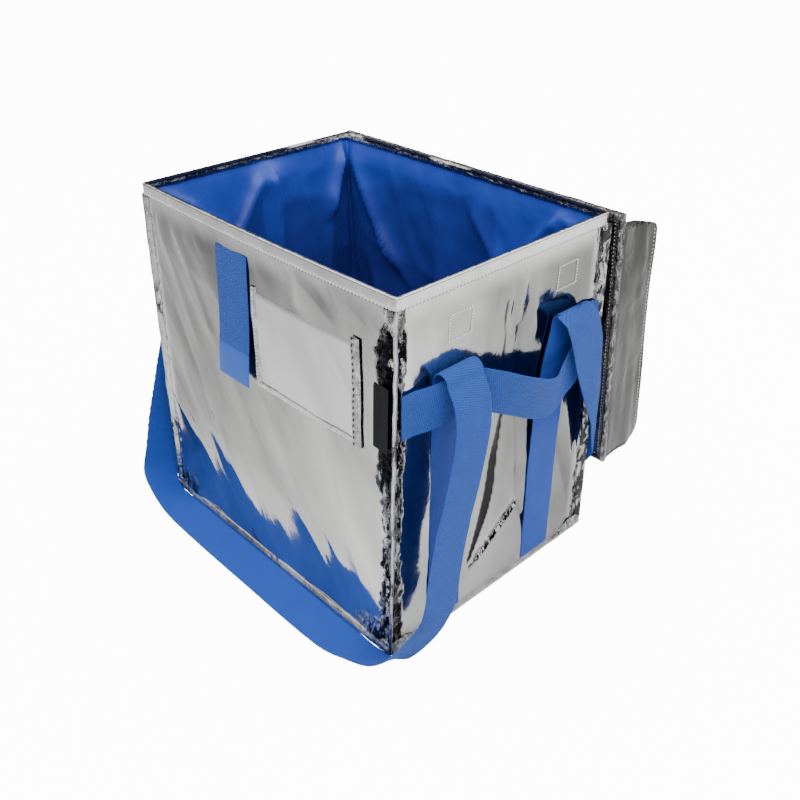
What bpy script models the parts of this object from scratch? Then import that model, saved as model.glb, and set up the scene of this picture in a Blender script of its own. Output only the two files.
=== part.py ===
"""Insulated delivery tote: an open-topped box of foil-faced padding with a blue
liner, a lid that hangs open behind it, and webbing handles at both ends.

Frame: +X runs to the right along the front, +Y towards the back, +Z up. The
origin is the middle of the flat base, which stands on the floor at Z = 0.
Every size is in metres.
"""

import math

import bmesh
import bpy
from mathutils import Vector

# Box
BAG_WIDTH = 0.384
TOP_DEPTH = 0.278
BASE_DEPTH = 0.298
BAG_HEIGHT = 0.381

# Layers of a wall, from the outside in
SKIN_THICKNESS = 0.0008
FOAM_THICKNESS = 0.004
LINER_THICKNESS = 0.0008
FIT_GAP = 0.0003

# Fold line down the middle of each end
CREASE_DEPTH = 0.008
CREASE_OFFSET = 0.016
CREASE_REACH = 0.115
# Height as a share of the bag's height, and how deep the fold is there
CREASE_SHARES = ((0.0, 0.0), (0.05, 0.0), (0.27, 0.35), (0.55, 1.0), (0.84, 0.8), (0.965, 0.0), (1.0, 0.0))

# Bindings and seams
BINDING_THICKNESS = 0.001
RIM_BINDING_HEIGHT = 0.010
BASE_BINDING_HEIGHT = 0.009
BASE_BINDING_LIFT = 0.0006
SEAM_WING = 0.006
SEAM_STEM = 0.0035
SEAM_STEM_THICKNESS = 0.002

# Webbing
WEB_THICKNESS = 0.0016
WEB_WIDTH = 0.044
CLOSURE_WIDTH = 0.050
CLOSURE_LENGTH = 0.135
CLOSURE_TOP_DROP = 0.024
CLOSURE_STAND_OFF = 0.0075
CLOSURE_POCKET_GAP = 0.004

# Front pocket and side label
POCKET_WIDTH = 0.154
POCKET_HEIGHT = 0.105
POCKET_SIDE_INSET = 0.040
POCKET_DROP = 0.052
POCKET_SHEET = 0.0006
POCKET_BINDING_WIDTH = 0.004
POCKET_BINDING_THICKNESS = 0.0009
LABEL_WIDTH = 0.0175
LABEL_HEIGHT = 0.072
LABEL_DROP = 0.072
LABEL_THICKNESS = 0.0008

# Foil squares sewn on under the rim, two at each end
PATCH_WIDTH = 0.030
PATCH_HEIGHT = 0.026
PATCH_THICKNESS = 0.0006
PATCH_DROP = 0.033
PATCH_SPACING = 0.146

# Carry straps: where they fold over the grab handles
FOLD_HEIGHT = 0.2925
FOLD_RADIUS = 0.0091
FOLD_LAP = 0.0075
FRONT_FOLD_PLACE = -0.077
BACK_FOLD_PLACE = 0.084
BACK_LEG_PLACE = 0.068
FRONT_PIVOT_HEIGHT = 0.292
STRAP_TOP_LAP = 0.008
STRAP_STAND_OFF = 0.0343
STRAP_FLOOR_LIFT = 0.0005
STRAP_BAG_CLEARANCE = 0.0018
CORNER_CLEARANCE = 0.0070
CORNER_RADIUS = 0.003

# Grab handles
HANDLE_HEIGHT = 0.270
HANDLE_BULGE = 0.0260
HANDLE_RISE = 0.0045
HANDLE_SAG = 0.042

# Lid
LID_LENGTH = 0.304
LID_SPREAD = 0.0221
LID_ROOT = 0.003
LID_INNER_OFFSET = 0.0005
LID_HINGE_BEHIND = 0.0138
LID_HINGE_ABOVE = 0.0016
LID_EDGE_BINDING = 0.006
WING_HEIGHT = 0.063
WING_FOAM = 0.002
WING_CLEARANCE = 0.0006
WING_END_INSET = 0.010
WING_CORNER_RADIUS = 0.016
HINGE_TAPE_HEIGHT = 0.022
HINGE_TAPE_THICKNESS = 0.0008

# How finely curves are cut
RIBBON_STEPS = 4
ARC_STEPS = 6
STRIP_COLUMNS = 4
WALL_STEPS = 3

HALF_WIDTH = BAG_WIDTH / 2
POCKET_LEFT = HALF_WIDTH - POCKET_SIDE_INSET - POCKET_WIDTH
CLOSURE_CENTRE = POCKET_LEFT - CLOSURE_POCKET_GAP - CLOSURE_WIDTH / 2
FOAM_OFFSET = SKIN_THICKNESS + FIT_GAP
LINER_OFFSET = FOAM_OFFSET + FOAM_THICKNESS + FIT_GAP
WALL_THICKNESS = LINER_OFFSET + LINER_THICKNESS
BINDING_FACE = FIT_GAP + BINDING_THICKNESS
BINDING_BOTTOM = BAG_HEIGHT - RIM_BINDING_HEIGHT
LEG_PLANE = HALF_WIDTH + FIT_GAP + WEB_THICKNESS / 2
LOBE_PLANE = LEG_PLANE + 2 * FOLD_RADIUS
STRAP_PLANE = LOBE_PLANE + WEB_THICKNESS + 2 * FIT_GAP
LEG_FOOT = BASE_BINDING_LIFT + BASE_BINDING_HEIGHT + FIT_GAP

FOIL = ("silver foil", (0.62, 0.61, 0.59), 0.22, 1.0)
BINDING_FOIL = ("silver binding", (0.56, 0.55, 0.53), 0.3, 1.0)
FOAM = ("white foam", (0.82, 0.82, 0.80), 0.9, 0.0)
LINER = ("blue liner", (0.016, 0.068, 0.42), 0.32, 0.0)
WEBBING = ("blue webbing", (0.035, 0.125, 0.60), 0.62, 0.0)
LABEL = ("dark label", (0.012, 0.016, 0.035), 0.6, 0.0)


def clear_scene():
    """Remove what the opened file holds."""
    for obj in list(bpy.data.objects):
        bpy.data.objects.remove(obj, do_unlink=True)


def material(finish):
    """The Principled material of a finish: name, colour, roughness, metallic."""
    name, colour, roughness, metallic = finish
    made = bpy.data.materials.get(name)
    if made is None:
        made = bpy.data.materials.new(name)
        made.use_nodes = True
        shader = made.node_tree.nodes["Principled BSDF"]
        shader.inputs["Base Color"].default_value = (*colour, 1.0)
        shader.inputs["Roughness"].default_value = roughness
        shader.inputs["Metallic"].default_value = metallic
    return made


def add_solid(name, points, faces, finish, pivot=None):
    """One closed body from world points, its origin at its pivot."""
    origin = Vector(pivot) if pivot is not None else Vector((0, 0, 0))
    mesh = bpy.data.meshes.new(name)
    mesh.from_pydata([Vector(point) - origin for point in points], [], faces)
    shape = bmesh.new()
    shape.from_mesh(mesh)
    bmesh.ops.recalc_face_normals(shape, faces=shape.faces)
    shape.to_mesh(mesh)
    shape.free()
    mesh.materials.append(material(finish))
    obj = bpy.data.objects.new(name, mesh)
    obj.location = origin
    bpy.context.scene.collection.objects.link(obj)
    return obj


def add_loft(name, rings, finish, pivot=None, closed=False):
    """A body through equal rings of points, capped unless it closes on itself."""
    count = len(rings[0])
    points = [point for ring in rings for point in ring]
    faces = []
    spans = len(rings) if closed else len(rings) - 1
    for row in range(spans):
        low = row * count
        high = (row + 1) % len(rings) * count
        for column in range(count):
            after = (column + 1) % count
            faces.append((low + column, low + after, high + after, high + column))
    if not closed:
        faces.append(tuple(range(count)))
        faces.append(tuple(range(len(points) - count, len(points))))
    return add_solid(name, points, faces, finish, pivot)


def split_quad(points, quad):
    """Two triangles of a quad, cut from its lower front to its upper back, so
    that the layers of a wall bend alike."""
    first, second, third, fourth = quad
    rise = points[third][2] - points[first][2]
    back = points[third][1] - points[first][1]
    if rise * back > 0:
        return [(first, second, third), (first, third, fourth)]
    return [(first, second, fourth), (second, third, fourth)]


def add_slab(name, outer, inner, finish, pivot=None):
    """A sheet between two grids of points with the same rows and columns."""
    rows = len(outer)
    columns = len(outer[0])
    points = [point for row in outer for point in row] + [point for row in inner for point in row]
    back = rows * columns
    faces = []
    for row in range(rows - 1):
        for column in range(columns - 1):
            low = row * columns + column
            high = low + columns
            faces += split_quad(points, (low, low + 1, high + 1, high))
            faces += split_quad(points, (back + high, back + high + 1, back + low + 1, back + low))
    edge = [(0, column) for column in range(columns)]
    edge += [(row, columns - 1) for row in range(1, rows)]
    edge += [(rows - 1, column) for column in reversed(range(columns - 1))]
    edge += [(row, 0) for row in reversed(range(1, rows - 1))]
    for here, there in zip(edge, edge[1:] + edge[:1]):
        first = here[0] * columns + here[1]
        second = there[0] * columns + there[1]
        faces.append((first, second, back + second, back + first))
    return add_solid(name, points, faces, finish, pivot)


def add_plate(name, outline, lift, finish, pivot=None):
    """A flat plate: an outline of points, and the same outline moved by lift."""
    moved = [Vector(point) + Vector(lift) for point in outline]
    return add_loft(name, [[Vector(point) for point in outline], moved], finish, pivot)


def half_depth(height):
    """Half the bag's depth at a height; the base is deeper than the rim."""
    return (BASE_DEPTH + (TOP_DEPTH - BASE_DEPTH) * height / BAG_HEIGHT) / 2


def crease_share(height):
    """How much of its full depth the end fold has at a height."""
    level = height / BAG_HEIGHT
    for (low, shallow), (high, deep) in zip(CREASE_SHARES, CREASE_SHARES[1:]):
        if level <= high:
            return shallow + (deep - shallow) * (level - low) / (high - low)
    return 0.0


def crease(place, height):
    """How far the end wall is pinched in at a place along Y."""
    nearness = max(0.0, 1 - abs(place - CREASE_OFFSET) / CREASE_REACH)
    return CREASE_DEPTH * crease_share(height) * nearness


def wall_levels(bottom, top):
    """Heights of a wall's rows, between its two edges."""
    shares = [share for share, _ in CREASE_SHARES]
    inner = []
    for low, high in zip(shares, shares[1:]):
        inner += [(low + (high - low) * step / WALL_STEPS) * BAG_HEIGHT for step in range(WALL_STEPS)]
    clear = FOAM_THICKNESS
    return [bottom] + [level for level in inner if bottom + clear < level < top - clear] + [top]


def wall_places():
    """Places across an end wall, from where its fold starts to where it stops."""
    rear = CREASE_OFFSET - CREASE_REACH
    fore = CREASE_OFFSET + CREASE_REACH
    front = [rear + (CREASE_OFFSET - rear) * step / WALL_STEPS for step in range(WALL_STEPS)]
    back = [fore + (CREASE_OFFSET - fore) * step / WALL_STEPS for step in reversed(range(WALL_STEPS))]
    return front, back


def front_grid(side, half_span, offset, levels):
    """Points on the front (side -1) or back (side 1) wall, offset inwards."""
    return [[(end * half_span, side * (half_depth(level) - offset), level) for end in (-1, 1)] for level in levels]


def end_grid(side, places, inset, offset, levels):
    """Points on an end wall, offset inwards; an edge is the place None."""
    grid = []
    for level in levels:
        reach = half_depth(level) - inset
        edges = [-reach if index == 0 else reach for index in range(len(places))]
        row = [edge if place is None else place for edge, place in zip(edges, places)]
        grid.append([(side * (HALF_WIDTH - offset - crease(along, level)), along, level) for along in row])
    return grid


def build_walls():
    """The foil skins and foam pads of the four walls."""
    skin_levels = wall_levels(0.0, BAG_HEIGHT)
    foam_levels = wall_levels(FOAM_OFFSET, BAG_HEIGHT)
    foam_back = FOAM_OFFSET + FOAM_THICKNESS
    for side, name in ((-1, "front"), (1, "back")):
        add_slab(name + "_skin",
                 front_grid(side, HALF_WIDTH, 0.0, skin_levels),
                 front_grid(side, HALF_WIDTH, SKIN_THICKNESS, skin_levels), FOIL)
        add_slab(name + "_foam",
                 front_grid(side, HALF_WIDTH - FOAM_OFFSET, FOAM_OFFSET, foam_levels),
                 front_grid(side, HALF_WIDTH - FOAM_OFFSET, foam_back, foam_levels), FOAM)
    front, back = wall_places()
    skin_places = [None] + front + [CREASE_OFFSET] + back + [None]
    front_places = [None] + front + [CREASE_OFFSET - FIT_GAP]
    back_places = [CREASE_OFFSET + FIT_GAP] + back + [None]
    for side, name in ((1, "right"), (-1, "left")):
        add_slab(name + "_skin",
                 end_grid(side, skin_places, FOAM_OFFSET, 0.0, skin_levels),
                 end_grid(side, skin_places, FOAM_OFFSET, SKIN_THICKNESS, skin_levels), FOIL)
        for half, places in (("front", front_places), ("back", back_places)):
            add_slab(name + "_foam_" + half,
                     end_grid(side, places, LINER_OFFSET, FOAM_OFFSET, foam_levels),
                     end_grid(side, places, LINER_OFFSET, foam_back, foam_levels), FOAM)


def base_outline(inset, height):
    """The base rectangle, inset from the walls, at a height."""
    wide = HALF_WIDTH - inset
    deep = half_depth(height) - inset
    return [(-wide, -deep, height), (wide, -deep, height), (wide, deep, height), (-wide, deep, height)]


def build_base():
    """The foil base and its foam pad."""
    add_plate("base_skin", base_outline(FOAM_OFFSET, 0.0), (0, 0, SKIN_THICKNESS), FOIL)
    add_plate("base_foam", base_outline(LINER_OFFSET, FOAM_OFFSET), (0, 0, FOAM_THICKNESS), FOAM)


def liner_ring(offset, level):
    """The liner's outline at a level, with the fold at each end."""
    wide = HALF_WIDTH - offset
    deep = half_depth(level) - offset
    front, back = wall_places()
    right = [-deep] + front + [CREASE_OFFSET] + back + [deep]
    ring = [(wide - crease(place, level), place, level) for place in right]
    ring += [(-wide + crease(place, level), place, level) for place in reversed(right)]
    return ring


def build_liner():
    """The one-piece liner, a tub that stands inside the foam."""
    levels = wall_levels(LINER_OFFSET, BAG_HEIGHT)
    rings = [liner_ring(LINER_OFFSET, level) for level in levels]
    rings += [liner_ring(WALL_THICKNESS, level) for level in reversed(levels[1:])]
    rings.append(liner_ring(WALL_THICKNESS, WALL_THICKNESS))
    count = len(rings[0])
    points = [point for ring in rings for point in ring]
    faces = []
    for row in range(len(rings) - 1):
        for column in range(count):
            after = (column + 1) % count
            low = row * count
            high = low + count
            faces += split_quad(points, (low + column, low + after, high + after, high + column))
    for first, level in ((0, LINER_OFFSET), (len(points) - count, WALL_THICKNESS)):
        middle = len(points)
        points.append((0.0, 0.0, level))
        for column in range(count):
            faces.append((first + column, first + (column + 1) % count, middle))
    add_solid("liner", points, faces, LINER)


def frame_ring(profile, half_wide, deep_at):
    """Four mitred corners of a rectangular frame; profile is (outward, height)."""
    rings = []
    for along, across in ((1, -1), (1, 1), (-1, 1), (-1, -1)):
        ring = []
        for outward, height in profile:
            ring.append((along * (half_wide + outward), across * (deep_at(height) + outward), height))
        rings.append(ring)
    return rings


def build_bindings():
    """The tape over the rim, the tape round the base and the four corner seams."""
    top = BAG_HEIGHT + BINDING_FACE
    seat = BAG_HEIGHT + FIT_GAP
    inside = -WALL_THICKNESS - FIT_GAP
    rim = ((BINDING_FACE, BINDING_BOTTOM), (BINDING_FACE, top), (inside - BINDING_THICKNESS, top),
           (inside - BINDING_THICKNESS, BINDING_BOTTOM), (inside, BINDING_BOTTOM), (inside, seat),
           (FIT_GAP, seat), (FIT_GAP, BINDING_BOTTOM))
    add_loft("rim_binding", frame_ring(rim, HALF_WIDTH, half_depth), BINDING_FOIL, closed=True)
    low = BASE_BINDING_LIFT
    high = low + BASE_BINDING_HEIGHT
    band = ((BINDING_FACE, low), (BINDING_FACE, high), (FIT_GAP, high), (FIT_GAP, low))
    add_loft("base_binding", frame_ring(band, HALF_WIDTH, half_depth), BINDING_FOIL, closed=True)
    near = FIT_GAP
    far = BINDING_FACE
    tip = far + SEAM_STEM
    side = SEAM_STEM_THICKNESS
    seam = ((near, near), (-SEAM_WING, near), (-SEAM_WING, far), (far - side, far), (tip - side, tip),
            (tip, tip), (tip, tip - side), (far, far - side), (far, -SEAM_WING), (near, -SEAM_WING))
    flat = seam[:3] + ((far, far),) + seam[-2:]
    for along, across, profile, name in ((1, -1, seam, "front_right"), (-1, -1, seam, "front_left"),
                                         (1, 1, flat, "back_right"), (-1, 1, flat, "back_left")):
        rings = []
        for level in (LEG_FOOT, BINDING_BOTTOM - FIT_GAP):
            rings.append([(along * (HALF_WIDTH + out), across * (half_depth(level) + deep), level)
                          for out, deep in profile])
        add_loft("corner_seam_" + name, rings, BINDING_FOIL)


def front_plate(name, outline, near, thickness, finish):
    """A thin sheet that lies on the front wall; outline is (x, height)."""
    inner = [(x, -(half_depth(height) + near), height) for x, height in outline]
    outer = [(x, -(half_depth(height) + near + thickness), height) for x, height in outline]
    return add_loft(name, [inner, outer], finish)


def build_front_trim():
    """The pocket, its stitched edging and the label sewn in the corner seam."""
    left = POCKET_LEFT
    right = left + POCKET_WIDTH
    high = BAG_HEIGHT - POCKET_DROP
    low = high - POCKET_HEIGHT
    edge = POCKET_BINDING_WIDTH
    sheet = ((left, low), (right, low), (right, high), (left, high))
    front_plate("pocket_sheet", sheet, FIT_GAP, POCKET_SHEET, FOIL)
    frame = ((left, low), (right, low), (right, high), (right - edge, high), (right - edge, low + edge),
             (left + edge, low + edge), (left + edge, high), (left, high))
    front_plate("pocket_binding", frame, 2 * FIT_GAP + POCKET_SHEET, POCKET_BINDING_THICKNESS, BINDING_FOIL)
    label_right = HALF_WIDTH - SEAM_WING - FIT_GAP
    label_left = label_right - LABEL_WIDTH
    top = BAG_HEIGHT - LABEL_DROP
    foot = top - LABEL_HEIGHT
    label = ((label_left, foot), (label_right, foot), (label_right, top), (label_left, top))
    front_plate("side_label", label, FIT_GAP, LABEL_THICKNESS, LABEL)


def build_patches():
    """Two foil squares on each end wall, under the rim."""
    high = BAG_HEIGHT - PATCH_DROP
    levels = [high - PATCH_HEIGHT * step / WALL_STEPS for step in reversed(range(WALL_STEPS + 1))]
    for side, end in ((1, "right"), (-1, "left")):
        for turn, half in ((-1, "front"), (1, "back")):
            middle = CREASE_OFFSET / 2 + turn * PATCH_SPACING / 2
            places = [middle + PATCH_WIDTH * (step / WALL_STEPS - 0.5) for step in range(WALL_STEPS + 1)]
            add_slab("closure_square_" + end + "_" + half,
                     end_grid(side, places, 0.0, -FIT_GAP - PATCH_THICKNESS, levels),
                     end_grid(side, places, 0.0, -FIT_GAP, levels), FOIL)


def smooth_rows(rows, steps):
    """Rows of numbers with Catmull-Rom values between them."""
    ends = [rows[0]] + list(rows) + [rows[-1]]
    made = []
    for before, start, stop, after in zip(ends, ends[1:], ends[2:], ends[3:]):
        for step in range(steps):
            t = step / steps
            made.append([0.5 * (2 * b + (c - a) * t + (2 * a - 5 * b + 4 * c - d) * t * t
                                + (3 * b - a - 3 * c + d) * t * t * t)
                         for a, b, c, d in zip(before, start, stop, after)])
    made.append(list(rows[-1]))
    return made


def ribbon_rings(centres, widths, width, thickness, square=True):
    """Sections of a flat strap: its middle line and the way its width points.

    A section is square to the middle line, or lies the way its width points.
    """
    rings = []
    last = len(centres) - 1
    for index, (centre, way) in enumerate(zip(centres, widths)):
        travel = (centres[min(index + 1, last)] - centres[max(index - 1, 0)]).normalized()
        level = way - travel * way.dot(travel)
        across = level.normalized() * (width / 2) if square else way * (width / 2 / level.length)
        out = travel.cross(level).normalized() * (thickness / 2)
        rings.append([centre + across + out, centre - across + out, centre - across - out, centre + across - out])
    return rings


def build_closure_strap():
    """The strap that hangs from the front rim and stands off the wall below."""
    top = BAG_HEIGHT - CLOSURE_TOP_DROP
    rest = FIT_GAP + WEB_THICKNESS / 2
    # Distance down the strap, and how far it has left the wall by then
    shares = ((0.0, 0.0), (0.3, 0.12), (0.6, 0.5), (0.8, 0.85), (1.0, 1.0))
    centres = []
    for down, out in smooth_rows(shares, RIBBON_STEPS):
        level = top - down * CLOSURE_LENGTH
        place = -(half_depth(level) + rest + out * CLOSURE_STAND_OFF)
        centres.append(Vector((CLOSURE_CENTRE, place, level)))
    widths = [Vector((1, 0, 0))] * len(centres)
    rings = ribbon_rings(centres, widths, CLOSURE_WIDTH, WEB_THICKNESS)
    pivot = (CLOSURE_CENTRE, -(half_depth(top) + rest), top)
    add_loft("closure_strap", rings, WEBBING, pivot)


# Sewn strap end: height (of the way up to its fold) and shift along the wall
CLIMB_SHARES = ((0.35, 0.0), (0.65, 0.1), (0.85, 0.5), (0.95, 0.85))


def fold_points(side, foot, shoulder, place):
    """The middle line of a sewn strap end: up the wall and over the handle."""
    low = Vector((side * LEG_PLANE, foot, LEG_FOOT))
    centres = [low]
    for up_share, over_share in CLIMB_SHARES:
        centres.append(Vector((side * LEG_PLANE, foot + (shoulder - foot) * over_share,
                               LEG_FOOT + (FOLD_HEIGHT - LEG_FOOT) * up_share)))
    for step in range(ARC_STEPS + 1):
        turn = math.pi * step / ARC_STEPS
        along = shoulder + (place - shoulder) * step / ARC_STEPS
        centres.append(Vector((side * (LEG_PLANE + FOLD_RADIUS * (1 - math.cos(turn))), along,
                               FOLD_HEIGHT + FOLD_RADIUS * math.sin(turn))))
    centres.append(Vector((side * LOBE_PLANE, place, FOLD_HEIGHT - FOLD_LAP)))
    return centres


def build_strap_ends():
    """The sewn ends of both carry straps, each folded over its grab handle."""
    for side, end in ((1, "right"), (-1, "left")):
        for name, foot, shoulder, place in (
                ("front", FRONT_FOLD_PLACE, FRONT_FOLD_PLACE, FRONT_FOLD_PLACE),
                ("back", BACK_LEG_PLACE, BACK_FOLD_PLACE, BACK_FOLD_PLACE)):
            centres = fold_points(side, foot, shoulder, place)
            widths = [Vector((0, 1, 0))] * len(centres)
            rings = ribbon_rings(centres, widths, WEB_WIDTH, WEB_THICKNESS)
            add_loft(name + "_strap_end_" + end, rings, WEBBING)


# Front carry strap, from its fold to the floor: how far it stands off the end
# (of STRAP_STAND_OFF), its place (of half the base's depth) and height (of the
# bag's), then the way its width points, towards its leading edge
RIGHT_DROP_SHARES = (
    (0.680, -0.517, 0.787, 0.0, -1.0, 0.0),
    (0.890, -0.530, 0.722, 0.0, -1.0, 0.05),
    (1.000, -0.534, 0.643, 0.0, -1.0, 0.05),
    (1.000, -0.590, 0.512, 0.0, -1.0, 0.12),
    (0.940, -0.657, 0.381, 0.0, -1.0, 0.20),
    (0.880, -0.705, 0.273, 0.0, -1.0, 0.25),
    (0.830, -0.760, 0.163, 0.0, -0.93, 0.37),
    (0.700, -0.846, 0.090, 0.05, -0.75, 0.66),
)
LEFT_DROP_SHARES = (
    (0.680, -0.517, 0.787, 0.0, -1.0, 0.0),
    (0.890, -0.530, 0.722, 0.0, -1.0, 0.05),
    (1.000, -0.570, 0.643, 0.0, -1.0, 0.08),
    (1.000, -0.690, 0.500, 0.0, -1.0, 0.18),
    (0.860, -0.890, 0.315, 0.0, -0.97, 0.25),
    (0.780, -1.010, 0.205, -0.03, -0.95, 0.30),
    (0.680, -1.090, 0.120, -0.1, -0.90, 0.42),
)
# Where the strap turns the bag's corner: the outward step from the corner
# (of the web's width) to its middle, its lift (likewise) and its width's way
RIGHT_CORNER_SHARES = (
    (0.390, -0.150, 0.450, 0.15, -0.45, 0.88),
    (0.180, -0.395, 0.355, 0.35, -0.62, 0.70),
)
LEFT_CORNER_SHARES = (
    (0.250, -0.470, 0.500, -0.30, -0.75, 0.60),
)
RUN_SHARES = (0.91, 0.77, 0.40, 0.0)
RUN_LIFT_SHARES = (0.200, 0.045, 0.0, 0.0)


def strap_drop(side, shares):
    """The strap's stations down one end, as middle point and width's way."""
    stations = []
    for out, place, height, way_x, way_y, way_z in shares:
        centre = (side * (HALF_WIDTH + out * STRAP_STAND_OFF), place * BASE_DEPTH / 2, height * BAG_HEIGHT)
        stations.append((*centre, side * abs(way_x), way_y, way_z))
    return stations


def strap_corner(side, shares):
    """The strap's stations round a front corner of the base."""
    stations = []
    for out, ahead, lift, way_x, way_y, way_z in shares:
        centre = (side * (HALF_WIDTH + BINDING_FACE + out * WEB_WIDTH),
                  -(BASE_DEPTH / 2 + BINDING_FACE) + ahead * WEB_WIDTH, lift * WEB_WIDTH)
        stations.append((*centre, side * abs(way_x), way_y, way_z))
    return stations


def strap_run(side):
    """The strap's stations along the floor, from a corner to the middle."""
    stations = []
    ahead = -(BASE_DEPTH / 2 + BINDING_FACE + STRAP_BAG_CLEARANCE + WEB_WIDTH / 2)
    floor = STRAP_FLOOR_LIFT + WEB_THICKNESS / 2
    for share, lift in zip(RUN_SHARES, RUN_LIFT_SHARES):
        centre = (side * share * HALF_WIDTH, ahead, floor + lift * WEB_WIDTH)
        stations.append((*centre, 0.0, -1.0, 2 * lift))
    return stations


def build_front_strap():
    """The front carry strap's free loop: down one end, along the floor in
    front of the bag and up the other end."""
    right = strap_drop(1, RIGHT_DROP_SHARES) + strap_corner(1, RIGHT_CORNER_SHARES) + strap_run(1)
    left = strap_drop(-1, LEFT_DROP_SHARES) + strap_corner(-1, LEFT_CORNER_SHARES) + strap_run(-1)
    stations = right + list(reversed(left[:-1]))
    plane = STRAP_PLANE
    top = FRONT_PIVOT_HEIGHT + STRAP_TOP_LAP
    seat = FOLD_HEIGHT - FOLD_LAP / 2
    for place, side in ((0, 1), (-1, -1)):
        stations[place] = (side * plane, FRONT_FOLD_PLACE, seat, 0.0, -1.0, 0.0)
    rows = smooth_rows(stations, RIBBON_STEPS)
    for place, side in ((0, 1), (len(rows), -1)):
        rows.insert(place, [side * plane, FRONT_FOLD_PLACE, top, 0.0, -1.0, 0.0])
    centres = [Vector(row[:3]) for row in rows]
    widths = [Vector(row[3:]) for row in rows]
    rings = ribbon_rings(centres, widths, WEB_WIDTH, WEB_THICKNESS)
    for end, seat_ring in ((0, 1), (-1, -2)):
        rings[seat_ring] = [point + centres[seat_ring] - centres[end] for point in rings[end]]
    for ring in rings:
        sunk = max(0.0, STRAP_FLOOR_LIFT - min(point.z for point in ring))
        for point in ring:
            point.z += sunk
    add_loft("front_strap", rings, WEBBING, (0, FRONT_FOLD_PLACE, FRONT_PIVOT_HEIGHT))


# How far past its fold the back strap stays flat, of its width
BACK_FLAT_SHARE = 0.8
# Where it lies level behind the bag, of the way to the middle
LEVEL_SHARE = 0.68


def wrapped_point(side, along, level, outward):
    """A point of the back strap, wrapped from the end wall round the corner.

    along is measured on the strap's surface from where the corner's bend
    starts: negative on the end, positive behind the bag.
    """
    bend = CORNER_RADIUS + outward
    quarter = CORNER_RADIUS * math.pi / 2
    y = half_depth(level) + CORNER_CLEARANCE - CORNER_RADIUS
    run = y - (BACK_FOLD_PLACE + WEB_WIDTH * BACK_FLAT_SHARE)
    low_plane = HALF_WIDTH + CORNER_CLEARANCE
    plane = low_plane + (STRAP_PLANE - low_plane) * max(0.0, min(1.0, -along / run))
    x = plane - CORNER_RADIUS
    if along <= 0:
        return Vector((side * (x + bend), y + along, level))
    if along < quarter:
        turn = along / CORNER_RADIUS
        return Vector((side * (x + bend * math.cos(turn)), y + bend * math.sin(turn), level))
    return Vector((side * (x - (along - quarter)), y + bend, level))


# Back carry strap, laid out flat from its fold: distance back towards the
# corner and beyond it (of half the base's depth) and height (of the bag's)
BACK_DROP_SHARES = (
    (-0.405, 0.787), (-0.375, 0.735), (-0.290, 0.640), (-0.185, 0.545), (-0.060, 0.440), (0.085, 0.330),
    (0.235, 0.225), (0.400, 0.135), (0.600, 0.080),
)


def build_back_strap():
    """The back carry strap's free loop: down each end, round the back corners
    and along the foot of the back wall."""
    quarter = CORNER_RADIUS * math.pi / 2
    bend_start = half_depth(0) + CORNER_CLEARANCE - CORNER_RADIUS
    floor = STRAP_FLOOR_LIFT + WEB_WIDTH / 2
    middle = HALF_WIDTH + CORNER_CLEARANCE - CORNER_RADIUS + quarter
    flat = [(place * BASE_DEPTH / 2, height * BAG_HEIGHT) for place, height in BACK_DROP_SHARES]
    flat[0] = (BACK_FOLD_PLACE - bend_start, FRONT_PIVOT_HEIGHT + STRAP_TOP_LAP)
    flat += [(middle * LEVEL_SHARE, floor), (middle, floor)]
    rows = [Vector(row) for row in smooth_rows(flat, RIBBON_STEPS)]
    half = []
    last = len(rows) - 1
    for index, row in enumerate(rows):
        travel = rows[min(index + 1, last)] - rows[max(index - 1, 0)]
        travel = Vector((0, -1)) if index == 0 else travel.normalized()
        travel = Vector((1, 0)) if index == last else travel
        across = Vector((-travel.y, travel.x))
        half.append([(row + across * (WEB_WIDTH * (column / STRIP_COLUMNS - 0.5)))
                     for column in range(STRIP_COLUMNS + 1)])
    sections = [(1, section) for section in half] + [(-1, section) for section in reversed(half[:-1])]
    faces = []
    for out in (WEB_THICKNESS / 2, -WEB_THICKNESS / 2):
        faces.append([[wrapped_point(side, flat_point.x, max(flat_point.y, STRAP_FLOOR_LIFT), out)
                       for flat_point in section]
                      for side, section in sections])
    add_slab("back_strap", faces[0], faces[1], WEBBING, (0, BACK_FOLD_PLACE, FRONT_PIVOT_HEIGHT))


# Grab handle from its front seam to its back seam: place (of half the rim's
# depth), stand-off (of HANDLE_BULGE), height (rise and sag) and its top's lean
HANDLE_SHARES = (
    (-0.880, 0.000, 0.00, 0.0, 0.00), (-0.720, 0.300, 0.50, 0.0, 0.00), (-0.554, 0.350, 1.00, 0.0, 0.00),
    (-0.440, 0.380, 0.90, 0.0, 0.05), (-0.270, 0.780, 0.00, 0.10, 0.15), (-0.080, 1.000, 0.00, 0.42, 0.25),
    (0.140, 1.000, 0.00, 0.80, 0.20), (0.320, 0.860, 0.00, 1.00, 0.10), (0.470, 0.560, 0.00, 1.00, 0.00),
    (0.610, 0.350, 0.00, 0.80, 0.00), (0.750, 0.330, 0.00, 0.40, 0.00), (0.880, 0.000, 0.00, 0.0, 0.00),
)


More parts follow.
